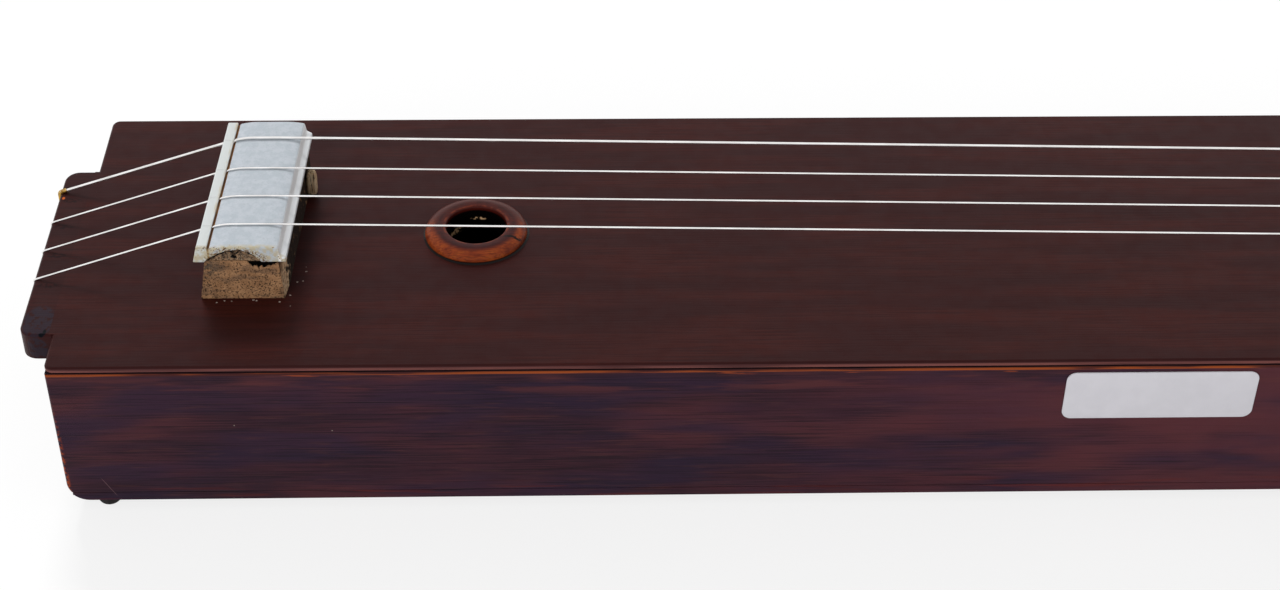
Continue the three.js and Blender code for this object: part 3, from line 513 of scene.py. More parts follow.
def wedge_light_and_grain(wood):
    """The wedge, laid paler as painted light, and more fibrous."""
    # Painted light: a pale tan laid over almost all of the wedge, which sits in shade
    wood.lay("cfa982", wood.flecks(3, 0.1, 0.3, 0.8))
    wood.lay("f2d9b4", wood.streaks(12, 0.7, 0.36, 0.6, 0.85, 1.4, "Z"))
    wood.lay("4b3a2b", wood.streaks(9, 0.7, 0.56, 0.66, 0.9, 3.3, "Z"))


def pitch_filler():
    """Pitch and sawdust, pressed into the arch by hand: dull brown and lumpy, with painted shade on
    its upper faces under the arch.
    """
    pitch = Finish("pitch_and_sawdust", "3a281c")
    lumps = pitch.flecks(1.6, 0.4, 0.6, detail=4)
    pitch.lay("8f7054", lumps)
    pitch.lay("ab957a", pitch.flecks(0.7, 0.5, 0.64, 0.7, detail=3))
    # Painted shade: faces that look up at the plate's arch laid almost black
    pitch.lay("090604", pitch.facing_up(0.35, 0.65))
    return pitch.finished((lumps, 0.4), Roughness=0.8, IOR=1.5)


def moulded_plate(name, stains=None):
    """Urea plastic, moulded and rubbed matt: cool white, with faint clouds and fine scuffs."""
    resin = Finish(name, bpy.context.scene.tanpura_colours.plate)
    cloud = resin.flecks(3.2, 0.35, 0.65, detail=5)
    scuff = resin.flecks(0.8, 0.52, 0.7, 0.35, detail=4)
    resin.lay("bac2c9", cloud)
    resin.lay("acb2b8", scuff)
    if stains:
        stains(resin)
    return resin.finished(
        (scuff, -0.04),
        Roughness=resin.add("MapRange", {0: cloud, 3: 0.44, 4: 0.56}),
        IOR=1.5,
        Specular_IOR_Level=0.2,
        Subsurface_Weight=0.3,
        Subsurface_Radius=(1, 1, 1),
        Subsurface_Scale=3 * MM,
    )


def bridge_stains_and_shading(resin):
    """Dirt in the slot of the bridge plate, glue and dirt on its near end, painted light on the
    step and flange at its head side, and painted shade on its underside.
    """
    slot = RIB_HEAD
    for tint, low, high, soft in (
        ("d6dad9", slot - 20, slot, 0.1),
        # Painted light: the step and flange at the head side laid whiter, and the shoulder of the
        # step whiter still
        ("f0f3f6", CROWN_END, PLATE_HEAD + 5, 0.3),
        ("fdfdfe", CROWN_END, CROWN_END + 1.2, 0.3),
    ):
        resin.lay(tint, resin.between(BRIDGE_WAY, low, high, soft))
    inside = (
        resin.between(BRIDGE_WAY, slot - 0.03, slot + SLOT_WIDTH + 0.03, 0.04),
        resin.between("Z", 20, 30.4, 0.25),
    )
    resin.lay("a0713f", *inside)
    resin.lay("5c3716", *inside, resin.streaks(1.2, 7, 0.3, 0.62, 0.75, 8))
    brink = resin.between(BRIDGE_WAY, slot - 1, slot + 0.1, 0.3)
    resin.lay("c6b48f", brink, resin.streaks(3, 9, 0.4, 0.75, 0.7))
    near = resin.fade("Y", BRIDGE_NEAR + 0.15, BRIDGE_NEAR + 2.4, 1, 0)
    resin.lay("c4b48c", near, resin.flecks(1.8, 0.3, 0.6, 0.75))
    arch = resin.spot((ARCH_PEAK - 2.6, BRIDGE_NEAR, PLATE_UNDERSIDE), (16.5, 9, 9), 0.8)
    resin.lay("6b4a26", near, arch, resin.flecks(0.9, 0.44, 0.56, 0.85, detail=3))
    brow = resin.between("Z", 29.4, 31.2, 0.4)
    tail_part = resin.between(BRIDGE_WAY, 69, 86, 3)
    resin.lay("5b3a1c", near, brow, tail_part, resin.flecks(1.1, 0.56, 0.6))
    resin.lay("80622f", near, resin.flecks(1.3, 0.67, 0.7))
    # Painted shade: faces that look down, under the arch and the overhangs, laid almost black
    resin.lay("0e0906", resin.facing_up(-0.5, -0.2, 1, 0))


def turned_rosewood():
    """Rosewood, turned, stained and dipped in lacquer.

    The eye gets a dark rim at the bore, an orange-red outer slope where the stain was wiped thin,
    streaks across the disc, a far side painted darker and redder as shade, and soft highlights.
    """
    wood = Finish("turned_rosewood", bpy.context.scene.tanpura_colours.ring)
    streak = wood.streaks(12, 1.3, 0.44, 0.66, 0.75, 4.4, detail=4)
    wood.lay("98491d", streak)
    wood.lay("5a1d12", wood.flecks(6.5, 0.48, 0.66, 0.75))
    wood.lay("4a1a10", wood.streaks(7, 0.5, 0.46, 0.66, 0.6, 9.4, detail=4))
    moved = wood.add("VectorMath", {0: wood.where, 1: at(RING_PLACE, 0, 0)}, operation="SUBTRACT")
    across, height = (wood.add("SeparateXYZ", {0: moved}, axis) for axis in "YZ")
    level = wood.add("VectorMath", {0: moved, 1: (1, 1, 0)}, operation="MULTIPLY")
    away = wood.add("VectorMath", {0: level}, "Value", operation="LENGTH")
    inner = wood.mixed("3a1210", "4a1b14", streak)
    wood.colour = wood.mixed(inner, wood.colour, wood.between(away, 20.6, 40, 1.6))
    # Painted shade: the far side of the ring laid darker and redder
    far = {0: across, 1: -4 * MM, 2: 9 * MM, 4: 0.92}
    wood.lay("43140e", wood.add("MapRange", far, **SOFT))
    for tint, low, high, soft, *fleck in (
        ("240b0a", 17.4, 19, 0.8, 4, 0.4, 0.6, 0.6),
        ("70301c", 15.2, 16.2, 0.35, 3, 0.35, 0.6, 0.8),
    ):
        wood.lay(tint, wood.between(away, low, high, soft), wood.flecks(*fleck))
    for x, y, length, width in ((16.4, -9.6, 5, 1), (20.6, -10.4, 3.4, 1.2)):
        crack = wood.spot((RING_PLACE + x, y, 4.4), (length, width, 4), 0.5)
        wood.lay("080303", crack, wood.flecks(1.5, 0.3, 0.46))
    wood.lay("0a0605", wood.between(height, -1, 1.05, 0.35))
    bore = wood.between(away, 0, 15.6, 0.3)
    wood.lay("050303", bore, wood.between(height, -12, 3.2, 0.5))
    for x, y, z, *size in ((-10.8, 10, -6.6, 5.2, 5.2, 2.2), (0.5, 14.7, -1.8, 4.5, 3, 1.1)):
        torn = wood.spot((RING_PLACE + x, y, z), size, 0.6)
        wood.lay("cda67c", torn, wood.flecks(1.6, 0.44, 0.52, detail=3), bore)
    return wood.finished(
        (streak, -0.03),
        Roughness=0.3,
        IOR=1.5,
        Specular_IOR_Level=0.13,
        Specular_Tint=linear("fff4f4"),
    )


def music_wire(name, wrapped=False):
    """Music wire, drawn and polished: white bright metal.

    The bass is wrapped with finer wire. Its wraps are really 0.25 mm apart and are drawn 0.6 mm
    apart, so that they show.
    """
    wire = Finish(name, "e6e4e2")
    wire.lay("fbfaf9", wire.streaks(14, 3, 0.3, 0.7))
    relief = []
    if wrapped:
        # A wave texture has 20 / (2 * pi) bands in a unit of length
        bands = {"Vector": wire.where, "Scale": 2 * pi / 20 / (0.6 * MM)}
        relief = [(wire.add("TexWave", bands, "Fac", bands_direction="X"), 0.08)]
    return wire.finished(*relief, Metallic=1, Roughness=0.3 if wrapped else 0.24)


def plated_steel(name):
    """Sheet and bar steel, nickel plated: grey, bright, with fine rubbed scratches."""
    steel = Finish(name, "c9c8c4")
    rub = steel.streaks(5, 0.25, 0.3, 0.7)
    steel.lay("a9a49a", steel.flecks(4, 0.45, 0.7, detail=4))
    rough = steel.add("MapRange", {0: rub, 3: 0.2, 4: 0.36})
    return steel.finished((rub, 0.01), Metallic=1, Roughness=rough)


def cut_brass(name):
    """Brass, cut from bar: yellow, bright on the flanks and dull brown where it has tarnished."""
    brass = Finish(name, "d9b25c")
    dull = brass.flecks(2.5, 0.4, 0.7, detail=4)
    brass.lay("9a7433", dull)
    rough = brass.add("MapRange", {0: dull, 3: 0.24, 4: 0.42})
    return brass.finished((dull, 0.01), Metallic=1, Roughness=rough)


def moulded_button():
    """Cream acetate, moulded and tumbled: warm, slightly clouded and glossy."""
    resin = Finish("moulded_acetate", bpy.context.scene.tanpura_colours.button)
    swirl = resin.flecks(6, 0.35, 0.65)
    resin.lay("d5c6a2", swirl)
    return resin.finished((swirl, 0.05), Roughness=0.25, IOR=1.5)


def black_rubber():
    """Moulded rubber: black, matt, greyed with dust on its flanks."""
    rubber = Finish("black_rubber", "110e0e")
    dust = rubber.flecks(1.5, 0.45, 0.75, detail=4)
    rubber.lay("262120", dust)
    return rubber.finished((dust, 0.06), Roughness=0.8, IOR=1.52, Specular_IOR_Level=0.25)


def white_laminate():
    """Laminated plastic sheet with a bare white face, slightly glossy and finely textured."""
    sheet = Finish("white_laminate", "cfcdd3")
    sheet.lay("d3d1d7", sheet.flecks(8, 0.3, 0.7, detail=4))
    texture = sheet.flecks(0.8, 0.3, 0.7)
    return sheet.finished((texture, 0.01), Roughness=0.4, IOR=1.5, Specular_IOR_Level=0.25)


def dried_glue():
    """White wood glue, dried where it was squeezed out: milky and half glossy."""
    glue = Finish("dried_glue", "6b5750")
    milk = glue.flecks(0.6, 0.3, 0.7)
    glue.lay("b0a39a", milk)
    return glue.finished((milk, 0.05), Roughness=0.4, IOR=1.47, Specular_IOR_Level=0.25)


# Shapes


def lump(x, y, z):
    """A smooth random height at a point, from -1 to 1."""
    return noise.noise(Vector((x, y, z)))


def quarter(steps):
    """The cosines and sines of a quarter turn, in steps."""
    angles = [pi / 2 * i / steps for i in range(steps + 1)]
    return [(cos(angle), sin(angle)) for angle in angles]


def fillet(corners, steps=5):
    """An outline from corners (a, b, radius), each rounded by an arc where it has a radius."""
    points = []
    for i, (a, b, radius) in enumerate(corners):
        corner = Vector((a, b))
        if not radius:
            points.append(corner)
            continue
        before = (Vector(corners[i - 1][:2]) - corner).normalized()
        after = (Vector(corners[(i + 1) % len(corners)][:2]) - corner).normalized()
        half = before.angle(after) / 2
        reach = radius / tan(half)
        centre = corner + (before + after).normalized() * (radius / sin(half))
        start = corner + before * reach - centre
        turn = start.angle_signed(corner + after * reach - centre)
        for step in range(steps + 1):
            c, s = cos(-turn * step / steps), sin(-turn * step / steps)
            points.append(centre + Vector((start.x * c - start.y * s, start.x * s + start.y * c)))
    return points


def inset(outline, distance):
    """An outline moved inwards, for outlines that run anticlockwise."""
    moved = []
    for i, point in enumerate(outline):
        before = (point - outline[i - 1]).normalized()
        after = (outline[(i + 1) % len(outline)] - point).normalized()
        way = before + after
        normal = Vector((-way.y, way.x)).normalized()
        lean = max(normal.dot(Vector((-before.y, before.x))), 0.35)
        moved.append(point + normal * (distance / lean))
    return moved


def skin(rings, closed=False):
    """A surface through rings that have as many points each. One of a single point is a tip."""
    points = []
    starts = []
    for ring in rings:
        starts.append((len(points), len(ring)))
        points += ring
    pairs = list(zip(starts, starts[1:]))
    if closed:
        pairs.append((starts[-1], starts[0]))
    faces = []
    for (a, low), (b, high) in pairs:
        count = max(low, high)
        for i in range(count):
            k = (i + 1) % count
            if low == 1:
                faces.append((a, b + k, b + i))
            elif high == 1:
                faces.append((a + i, a + k, b))
            else:
                faces.append((a + i, a + k, b + k, b + i))
    return points, faces


def loft(sections):
    """A closed body through sections that have as many points each."""
    points, faces = skin(sections)
    last = len(points) - len(sections[-1])
    for first, end in ((0, sections[0]), (last, sections[-1])):
        faces += [tuple(first + i for i in face) for face in tessellate_polygon([end])]
    return points, faces


def slab(outline, low, high, edge, place, steps=4):
    """A plate of that outline between two levels, with rounded edges. place puts a point."""
    rims = [(inset(outline, edge * (1 - s)), edge * (1 - c)) for c, s in quarter(steps)]
    levels = [(rim, low + rise) for rim, rise in rims]
    levels += [(rim, high - rise) for rim, rise in reversed(rims)]
    return loft([[place(p.x, p.y, level) for p in rim] for rim, level in levels])


def lathe(profile, segments, place, closed=False, wobble=None):
    """A turned body from pairs of radius and height. place puts a point."""
    rings = []
    for radius, height in profile:
        ring = []
        for i in range(segments if radius else 1):
            angle = 2 * pi * i / segments
            reach = radius + (wobble(angle, radius, height) if wobble else 0)
            ring.append(place(reach * cos(angle), reach * sin(angle), height))
        rings.append(ring)
    return skin(rings, closed)


def tube(route, radius, sides=STRING_SIDES):
    """A round wire along a route of points, with flat ends."""
    ways = [(b - a).normalized() for a, b in zip(route, route[1:])]
    tangents = [ways[0], *((a + b).normalized() for a, b in zip(ways, ways[1:])), ways[-1]]
    normal = tangents[0].orthogonal().normalized()
    angles = [2 * pi * j / sides for j in range(sides)]
    circle = [(radius * cos(angle), radius * sin(angle)) for angle in angles]
    sections = []
    for i, point in enumerate(route):
        if i:
            normal = tangents[i - 1].rotation_difference(tangents[i]) @ normal
        across = tangents[i].cross(normal)
        sections.append([point + normal * a + across * b for a, b in circle])
    return loft(sections)


def joined(bodies):
    """Several bodies as the points and faces of one."""
    points = []
    faces = []
    for some, their in bodies:
        faces += [tuple(i + len(points) for i in face) for face in their]
        points += some
    return points, faces


def linked(name, data):
    """A new object in the scene."""
    obj = bpy.data.objects.new(name, data)
    bpy.context.scene.collection.objects.link(obj)
    return obj


def face_out(mesh, weld=0):
    """Turns the faces of a mesh outwards, after joining points that are closer than weld."""
    work = bmesh.new()
    work.from_mesh(mesh)
    if weld:
        bmesh.ops.remove_doubles(work, verts=work.verts, dist=weld * MM)
    bmesh.ops.recalc_face_normals(work, faces=work.faces)
    work.to_mesh(mesh)
    work.free()


def body(name, shape):
    """An object from points in metres and faces."""
    points, faces = shape
    mesh = bpy.data.meshes.new(name)
    mesh.from_pydata([tuple(p) for p in points], [], faces)
    face_out(mesh)
    return linked(name, mesh)


def shade(mesh, smooth):
    """Shades a mesh smooth, apart from edges that are sharper than an angle in degrees."""
    mesh.shade_smooth()
    mesh.set_sharp_from_angle(angle=radians(smooth))


def piece(name, shape, material, slot, stands_for=None, smooth=40, rides="instrument"):
    """A piece of the instrument, riding on a body of the frame."""
    obj = body(name, shape)
    shade(obj.data, smooth)
    obj.data.materials.append(material)
    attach(obj, rides)
    if stands_for:
        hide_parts(stands_for)
    return obj


def carve(obj, shape, smooth=40, operation="DIFFERENCE"):
    """Cuts a closed shape out of a piece, or joins it on."""
    tool = body("tool", shape)
    modifier = obj.modifiers.new("carve", "BOOLEAN")
    fitted(modifier, object=tool, operation=operation, solver="EXACT")
    bpy.context.view_layer.update()
    evaluated = obj.evaluated_get(bpy.context.evaluated_depsgraph_get())
    result = bpy.data.meshes.new_from_object(evaluated)
    obj.modifiers.remove(modifier)
    bpy.data.objects.remove(tool)
    old = obj.data
    result.name = old.name
    obj.data = result
    bpy.data.meshes.remove(old)
    shade(result, smooth)


def soften(node, material, edge=0.3):
    """Gives a piece of the frame its material and small rounded edges."""
    obj = NODES[node]
    obj.data.materials.clear()
    obj.data.materials.append(material)
    obj.data.polygons.foreach_set("material_index", [0] * len(obj.data.polygons))
    if edge:
        flat, sharp = radians(0.5), radians(28)
        fitted(obj.modifiers.new("weld", "WELD"), merge_threshold=0.01 * MM)
        decimate = obj.modifiers.new("flat", "DECIMATE")
        fitted(decimate, decimate_type="DISSOLVE", angle_limit=flat)
        bevel = obj.modifiers.new("edge", "BEVEL")
        fitted(bevel, width=edge * MM, segments=3, limit_method="ANGLE", angle_limit=sharp)


# Stage


def add_camera(scene):
    data = bpy.data.cameras.new("camera")
    fitted(data, lens=CAMERA_LENS, sensor_width=36, clip_start=0.01, clip_end=100)
    level = cos(CAMERA_PITCH)
    x, y = sin(CAMERA_YAW) * level, cos(CAMERA_YAW) * level
    forward = Vector((x, y, -sin(CAMERA_PITCH)))
    level = forward.cross(Vector((0, 0, 1))).normalized()
    over = level.cross(forward)
    right = level * cos(CAMERA_ROLL) + over * sin(CAMERA_ROLL)
    up = over * cos(CAMERA_ROLL) - level * sin(CAMERA_ROLL)
    scene.camera = linked("camera", data)
    turn = Matrix((right, up, -forward)).transposed().to_4x4()
    scene.camera.matrix_world = Matrix.Translation(CAMERA_PLACE) @ turn


def background_ray(nodes):
    """1 for camera, glossy and transmission rays, which see the white background."""
    seen = nodes.add("LightPath", output="Is Camera Ray")
    for name in ("Is Glossy Ray", "Is Transmission Ray"):
        ray = nodes.add("LightPath", output=name)
        seen = nodes.add("Math", {0: seen, 1: ray}, operation="MAXIMUM")
    return seen


def matt_white_paint():
    """Studio floor in matt white paint, which keeps a soft shadow.

    The background rays see it lifted to plain white outside the shadow.
    """
    paint = Nodes(bpy.data.materials.new("matt_white_paint"))
    share = paint.add("Math", {0: background_ray(paint), 1: 0.72}, operation="MULTIPLY")
    matt = paint.add("BsdfDiffuse", {"Color": linear("f0f0f0")})
    glow = paint.add("Emission", {"Color": linear("ffffff"), "Strength": 1.08})
    surface = paint.add("MixShader", {0: share, 1: matt, 2: glow})
    paint.add("OutputMaterial", {"Surface": surface})
    return paint.owner


def add_floor():
    mesh = bpy.data.meshes.new("floor")
    low, high = -FLOOR_REACH, FLOOR_REACH
    corners = [(low, low, 0), (high, low, 0), (high, high, 0), (low, high, 0)]
    mesh.from_pydata(corners, [], [(0, 1, 2, 3)])
    mesh.materials.append(matt_white_paint())
    linked("floor", mesh)


def add_world(scene):
    studio = Nodes(bpy.data.worlds.new("studio"))
    seen = background_ray(studio)
    ambient, white = (
        studio.add("Background", {"Color": linear("ffffff"), "Strength": strength})
        for strength in (0.42, 1)
    )
    mixed = studio.add("MixShader", {0: seen, 1: ambient, 2: white})
    studio.add("OutputWorld", {"Surface": mixed})
    scene.world = studio.owner


def add_lamps():
    """A broad key from behind on the tail side, and a low fill from the front."""
    for name, way, spread, strength in (
        ("key", Vector((0.18, -0.70, -0.69)), 13, 1.8),
        ("fill", Vector((0.42, 0.80, -0.42)), 35, 1.25),
    ):
        data = bpy.data.lights.new(name, "SUN")
        lamp = linked(name, fitted(data, angle=radians(spread), energy=strength))
        turn = way.to_track_quat("-Z", "Y")
        # Gloss mirrors the white background and not the lamps, as under a large diffuser
        fitted(
            lamp,
            rotation_mode="QUATERNION",
            rotation_quaternion=turn,
            location=way * -3,
            visible_glossy=False,
        )


class TANPURA_OT_stage(bpy.types.Operator):
    """Sets up the camera, the pale floor, the background and the studio light"""

    bl_idname = "tanpura.stage"
    bl_label = "Stage"

    def execute(self, context):
        context.scene.view_settings.view_transform = "Standard"
        add_camera(context.scene)
        add_floor()
        add_world(context.scene)
        add_lamps()
        return {"FINISHED"}


# Sound box, ledge and ring


def bar(along, across, level):
    """A straight bar between two places along, across and up."""
    (tail, head), (near, far) = along, across
    corners = ((tail, near), (head, near), (head, far), (tail, far))
    return loft([[at(x, y, z) for x, y in corners] for z in level])


def box_joints(board, side):
    """Stained filler, rubbed flush, where the ledge and the back meet the box."""
    ends = (reach_of("tail_ledge", 0, "y") + 0.5, reach_of("tail_ledge", 1, "y") - 0.5)
    piece("ledge_joint", bar((-1.7, 1.7), ends, (-1.6, 0.012)), board, "stained_top")
    seam = reach_of("front_side", 0, "z") - BOARD_TOP
    run = (2.3, HEAD - 2.3)
    level = (seam - 0.9, seam + 0.6)
    outer = FRONT + 0.03
    inner = FRONT + 2
    bars = [bar(run, (outer, inner), level), bar(run, (-inner, -outer), level)]
    piece("back_joint", joined(bars), side, "stained_side")


def rubber_feet():
    rubber = black_rubber()
    profile = [(0, 0), (FOOT_FLAT, 0)]
    for c, s in quarter(10)[1:]:
        profile.append((FOOT_FLAT + (FOOT_RADIUS - FOOT_FLAT) * s, FOOT_HEIGHT * (1 - c)))
    profile.append((0, FOOT_HEIGHT))
    for place in ("tail_front", "tail_rear", "head_front", "head_rear"):
        low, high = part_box("foot_" + place)
        centre = (low + high) / 2
        shape = lathe(
            profile, 48, lambda x, y, z: Vector((centre.x + x * MM, centre.y + y * MM, z * MM))
        )
        piece("rubber_foot_" + place, shape, rubber, "foot_black", "foot_" + place)


class TANPURA_OT_sound_box(bpy.types.Operator):
    """Stains and lacquers the boards of the box, and leaves its inner wood bare"""

    bl_idname = "tanpura.sound_box"
    bl_label = "Sound Box"

    def execute(self, context):
        colours = context.scene.tanpura_colours
        board = stained_toon("stained_toon_board", colours.board, "2a0f0c", "3a1611", board_marks)
        side = stained_toon("stained_toon_side", colours.side, "26131c", "3f2028", side_marks)
        bare = bare_softwood()
        soften("soundboard", board)
        for node in ("back_board", "front_side", "rear_side", "tail_wall", "head_wall"):
            soften(node, side)
        for node in ("front_lining", "rear_lining", "head_block"):
            soften(node, bare, 0)
        for node in ("top_brace_1", "top_brace_2", "top_brace_3", "back_brace_1", "back_brace_2"):
            soften(node, bare, 0)
        box_joints(board, side)
        rubber_feet()
        return {"FINISHED"}


class TANPURA_OT_tail_ledge(bpy.types.Operator):
    """Finishes the tail ledge with its worn corner, and makes the string pins"""

    bl_idname = "tanpura.tail_ledge"
    bl_label = "Tail Ledge"

    def execute(self, context):
        *board, alpha = context.scene.tanpura_colours.board
        darker = [0.9 * channel for channel in board] + [alpha]
        wood = stained_toon("stained_toon_ledge", darker, "270e0b", "351410", ledge_marks)
        soften("tail_ledge", wood, 0.4)
        steel = plated_steel("plated_steel_pins")
        under_head = PIN_HEAD_THICKNESS - PIN_REACH
        profile = [
            (0, -PIN_REACH),
            (PIN_HEAD_RADIUS * 0.7, -PIN_REACH),
            (PIN_HEAD_RADIUS, -PIN_REACH + 0.35),
            (PIN_HEAD_RADIUS, under_head),
            (PIN_RADIUS, under_head),
            (PIN_RADIUS, PIN_DEPTH - 2),
            (0, PIN_DEPTH),
        ]
        for i, y in enumerate(STRING_PLACES, 1):
            shape = lathe(
                profile, 32, lambda a, b, along: at(LEDGE_FACE + along, y + a, -PIN_DROP + b)
            )
            piece(f"round_head_pin_{i}", shape, steel, "steel", f"string_pin_{i}")
        return {"FINISHED"}


class TANPURA_OT_sound_ring(bpy.types.Operator):
    """Turns the ring round the sound hole"""

    bl_idname = "tanpura.sound_ring"
    bl_label = "Sound Hole Ring"

    def execute(self, context):
        profile = [(RING_SPIGOT, 0.02), (RING_RADIUS + GLUE_LINE, 0.02)]
        profile += [(RING_RADIUS + 0.5 * GLUE_LINE, 0.3), (RING_RADIUS, 0.6)]
        slope, rise = RING_RADIUS - RING_TOP, RING_HEIGHT - RING_FOOT
        profile += [(RING_TOP + slope * c, RING_FOOT + rise * s) for c, s in quarter(18)]
        inner, brim = RING_BORE + RING_LIP, RING_HEIGHT - 0.15
        profile += [(inner - RING_LIP * s, brim - RING_LIP * (1 - c)) for c, s in quarter(6)]
        profile += [(RING_BORE + 0.1, -RING_DEPTH), (RING_SPIGOT, -RING_DEPTH)]

        def wobble(angle, radius, height):
            if height < 0.3:
                return 0
            way = Vector((cos(angle), sin(angle), height * 0.3)) * 1.3
            return 0.18 * lump(*way) * (radius / RING_RADIUS)

        shape = lathe(profile, 144, lambda x, y, z: at(RING_PLACE + x, y, z), True, wobble)
        piece("turned_ring", shape, turned_rosewood(), "ring_brown", "sound_ring")
        return {"FINISHED"}


# Bridge


def crown_height(run):
    rise = max(1 - run / CROWN_RISE, 0)
    fall = max(1 - (CROWN_WIDTH - run) / CROWN_FALL, 0)
    return CROWN_TOP - CROWN_RISE_DROP * rise**2 - CROWN_FALL_DROP * fall**2


def arch_point(share):
    run = ARCH_HEAD_RUN if share > 0 else ARCH_TAIL_RUN
    return ARCH_PEAK + run * share, PLATE_UNDERSIDE + ARCH_HEIGHT * (1 - share**2)


def rib_point(y, run):
    return skewed(RIB_TAIL + run, y, RIB_HOLE_HEIGHT + RIB_HOLE_RISE * run / RIB_WIDTH)


def plate_outline():
    """The section of the bridge plate, anticlockwise from its low tail corner."""
    arch_steps = 28
    crown_steps = 26
    corners = [(BRIDGE_TAIL, PLATE_UNDERSIDE, 0.4)]
    corners += [(*arch_point(-1 + 2 * i / arch_steps), 0) for i in range(arch_steps + 1)]
    corners += [
        (PLATE_HEAD, PLATE_UNDERSIDE, 0.4),
        (PLATE_HEAD, STEP_HEIGHT, 0.7),
        (CROWN_END + STEP_RUN, STEP_HEIGHT + FLANGE_FALL, 1),
        (CROWN_END, crown_height(CROWN_WIDTH), 1.1),
    ]
    for i in range(1, crown_steps):
        run = CROWN_WIDTH * (1 - i / crown_steps)
        if 1.2 < run < CROWN_WIDTH - 1.4:
            corners.append((CROWN_START + run, crown_height(run), 0))
    corners += [
        (CROWN_START, crown_height(0), 0.5),
        (CROWN_START, SLOT_FLOOR, 0.3),
        (RIB_HEAD, SLOT_FLOOR, 0.3),
        (RIB_HEAD, RIB_HEIGHT, 0.45),
        (RIB_TAIL, RIB_HEIGHT, 0.7),
    ]
    return fillet(corners)


def bridge_plate():
    outline = plate_outline()
    edge = 0.55

    def section(y, distance, ragged=0):
        """The plate's section at y, inset by a distance, with chips in its arch."""
        line = []
        for x, z in inset(outline, distance):
            share = (x - ARCH_PEAK) / (ARCH_HEAD_RUN if x > ARCH_PEAK else ARCH_TAIL_RUN)
            if ragged and abs(share) < 1 and z < arch_point(share)[1] + 1.2 and z < 30:
                z += ragged * (lump(x * 0.9, y, 3.1) + 0.5 * lump(x * 2.6, y, 8.3))
            line.append(skewed(x, y, z))
        return line

    rims = [(edge * (1 - c), edge * (1 - s)) for c, s in quarter(4)]
    sections = [section(BRIDGE_NEAR + rise, distance, 0.55) for rise, distance in rims]
    sections += [section(BRIDGE_NEAR + run, 0, 0.3) for run in (1.3, 2.4)]
    sections += [section(y, 0) for y in (BRIDGE_NEAR + 5, 0, -BRIDGE_NEAR - 3)]
    sections += [section(-BRIDGE_NEAR - rise, distance) for rise, distance in reversed(rims)]
    material = moulded_plate("moulded_urea_bridge", bridge_stains_and_shading)
    shape = loft(sections)
    plate = piece("moulded_bridge_plate", shape, material, "plate_white", "bridge_plate", 32)
    tail, head = RIB_TAIL - 1.5, RIB_HEAD + 0.5
    low, high = RIB_HEIGHT - 0.35, RIB_HEIGHT + 1
    groove = ((tail, low), (head, low), (head, high), (tail, high))
    for i, y in enumerate(STRING_PLACES):
        hole = [rib_point(y, -1.5), rib_point(y, RIB_WIDTH + 0.7)]
        carve(plate, tube(hole, (string_radius(i) + 0.25) * MM, 16), 32)
        cut = [[skewed(a, y + side, b) for a, b in groove] for side in (-0.13, 0.13)]
        carve(plate, loft(cut), 32)


def bridge_block():
    """The sawn block, leaning in towards the plate, with its near head corner cut off."""
    half = BRIDGE_LENGTH / 2 - 1.6
    tail = BRIDGE_TAIL + 1.2
    head = PLATE_HEAD - 1.7
    top = PLATE_UNDERSIDE - 0.06
    tail_lean, head_lean = 4, 1.4
    cut, cut_length = 1, 11
    gap_tail, gap_head, gap_depth = 89.7, 106.2, 3.6
    cap_steps = 9
    count = round(2 * half / 0.9)

    def section(y):
        """Points round the section at y, evenly spaced, from the low tail corner."""
        chamfer = max(cut * (1 - (y + half) / cut_length), 0)
        corners = [
            Vector((tail, 0)),
            Vector((head - chamfer, 0)),
            Vector((head - head_lean - chamfer, top)),
            Vector((tail + tail_lean, top)),
        ]
        line = []
        for a, b, steps in zip(corners, corners[1:] + corners[:1], (44, 24, 40, 24)):
            for x, z in (a.lerp(b, k / steps) for k in range(steps)):
                open_gap = min(max(x - gap_tail, 0) / 3, max(gap_head - x, 0), 1)
                if z > top - 0.01 and y < -half + 18 and open_gap:
                    z -= open_gap * (gap_depth + 2.6 * lump(x * 0.7, y * 0.3, 4))
                line.append((x, y, z))
        return line

    def cap(line):
        """Smaller and smaller sections, from an end of the block to its middle point."""
        a, c = Vector((sum(p[0] for p in line), sum(p[2] for p in line))) / len(line)
        shares = [1 - k / cap_steps for k in range(1, cap_steps)]
        layers = [[(a + (x - a) * s, y, c + (z - c) * s) for x, y, z in line] for s in shares]
        return layers + [[(a, line[0][1], c)]]

    rings = [section(-half + 2 * half * i / count) for i in range(count + 1)]
    points, faces = skin(cap(rings[0])[::-1] + rings + cap(rings[-1]))
    placed = []
    for x, y, z in points:
        way = Vector((x, y, z))
        rough = lump(*way * 0.35) * 0.28 + lump(*way * 1.3) * 0.16
        saw = 0.06 * sin(z * 2.6 + 0.4 * lump(*way * 0.2))
        move = (rough + saw) * (1 if z > 0.6 else 0.25)
        x += move * (1 if x > (tail + head) / 2 else -1) * 0.7
        y += move * (1 if y > 0 else -1) * (abs(y) > half - 0.5)
        placed.append(skewed(x, y, max(z, 0.02)))
    material = rough_mango("rough_mango", block_marks_and_shade)
    piece("sawn_bridge_block", (placed, faces), material, "bridge_wood", "bridge_block", 50)


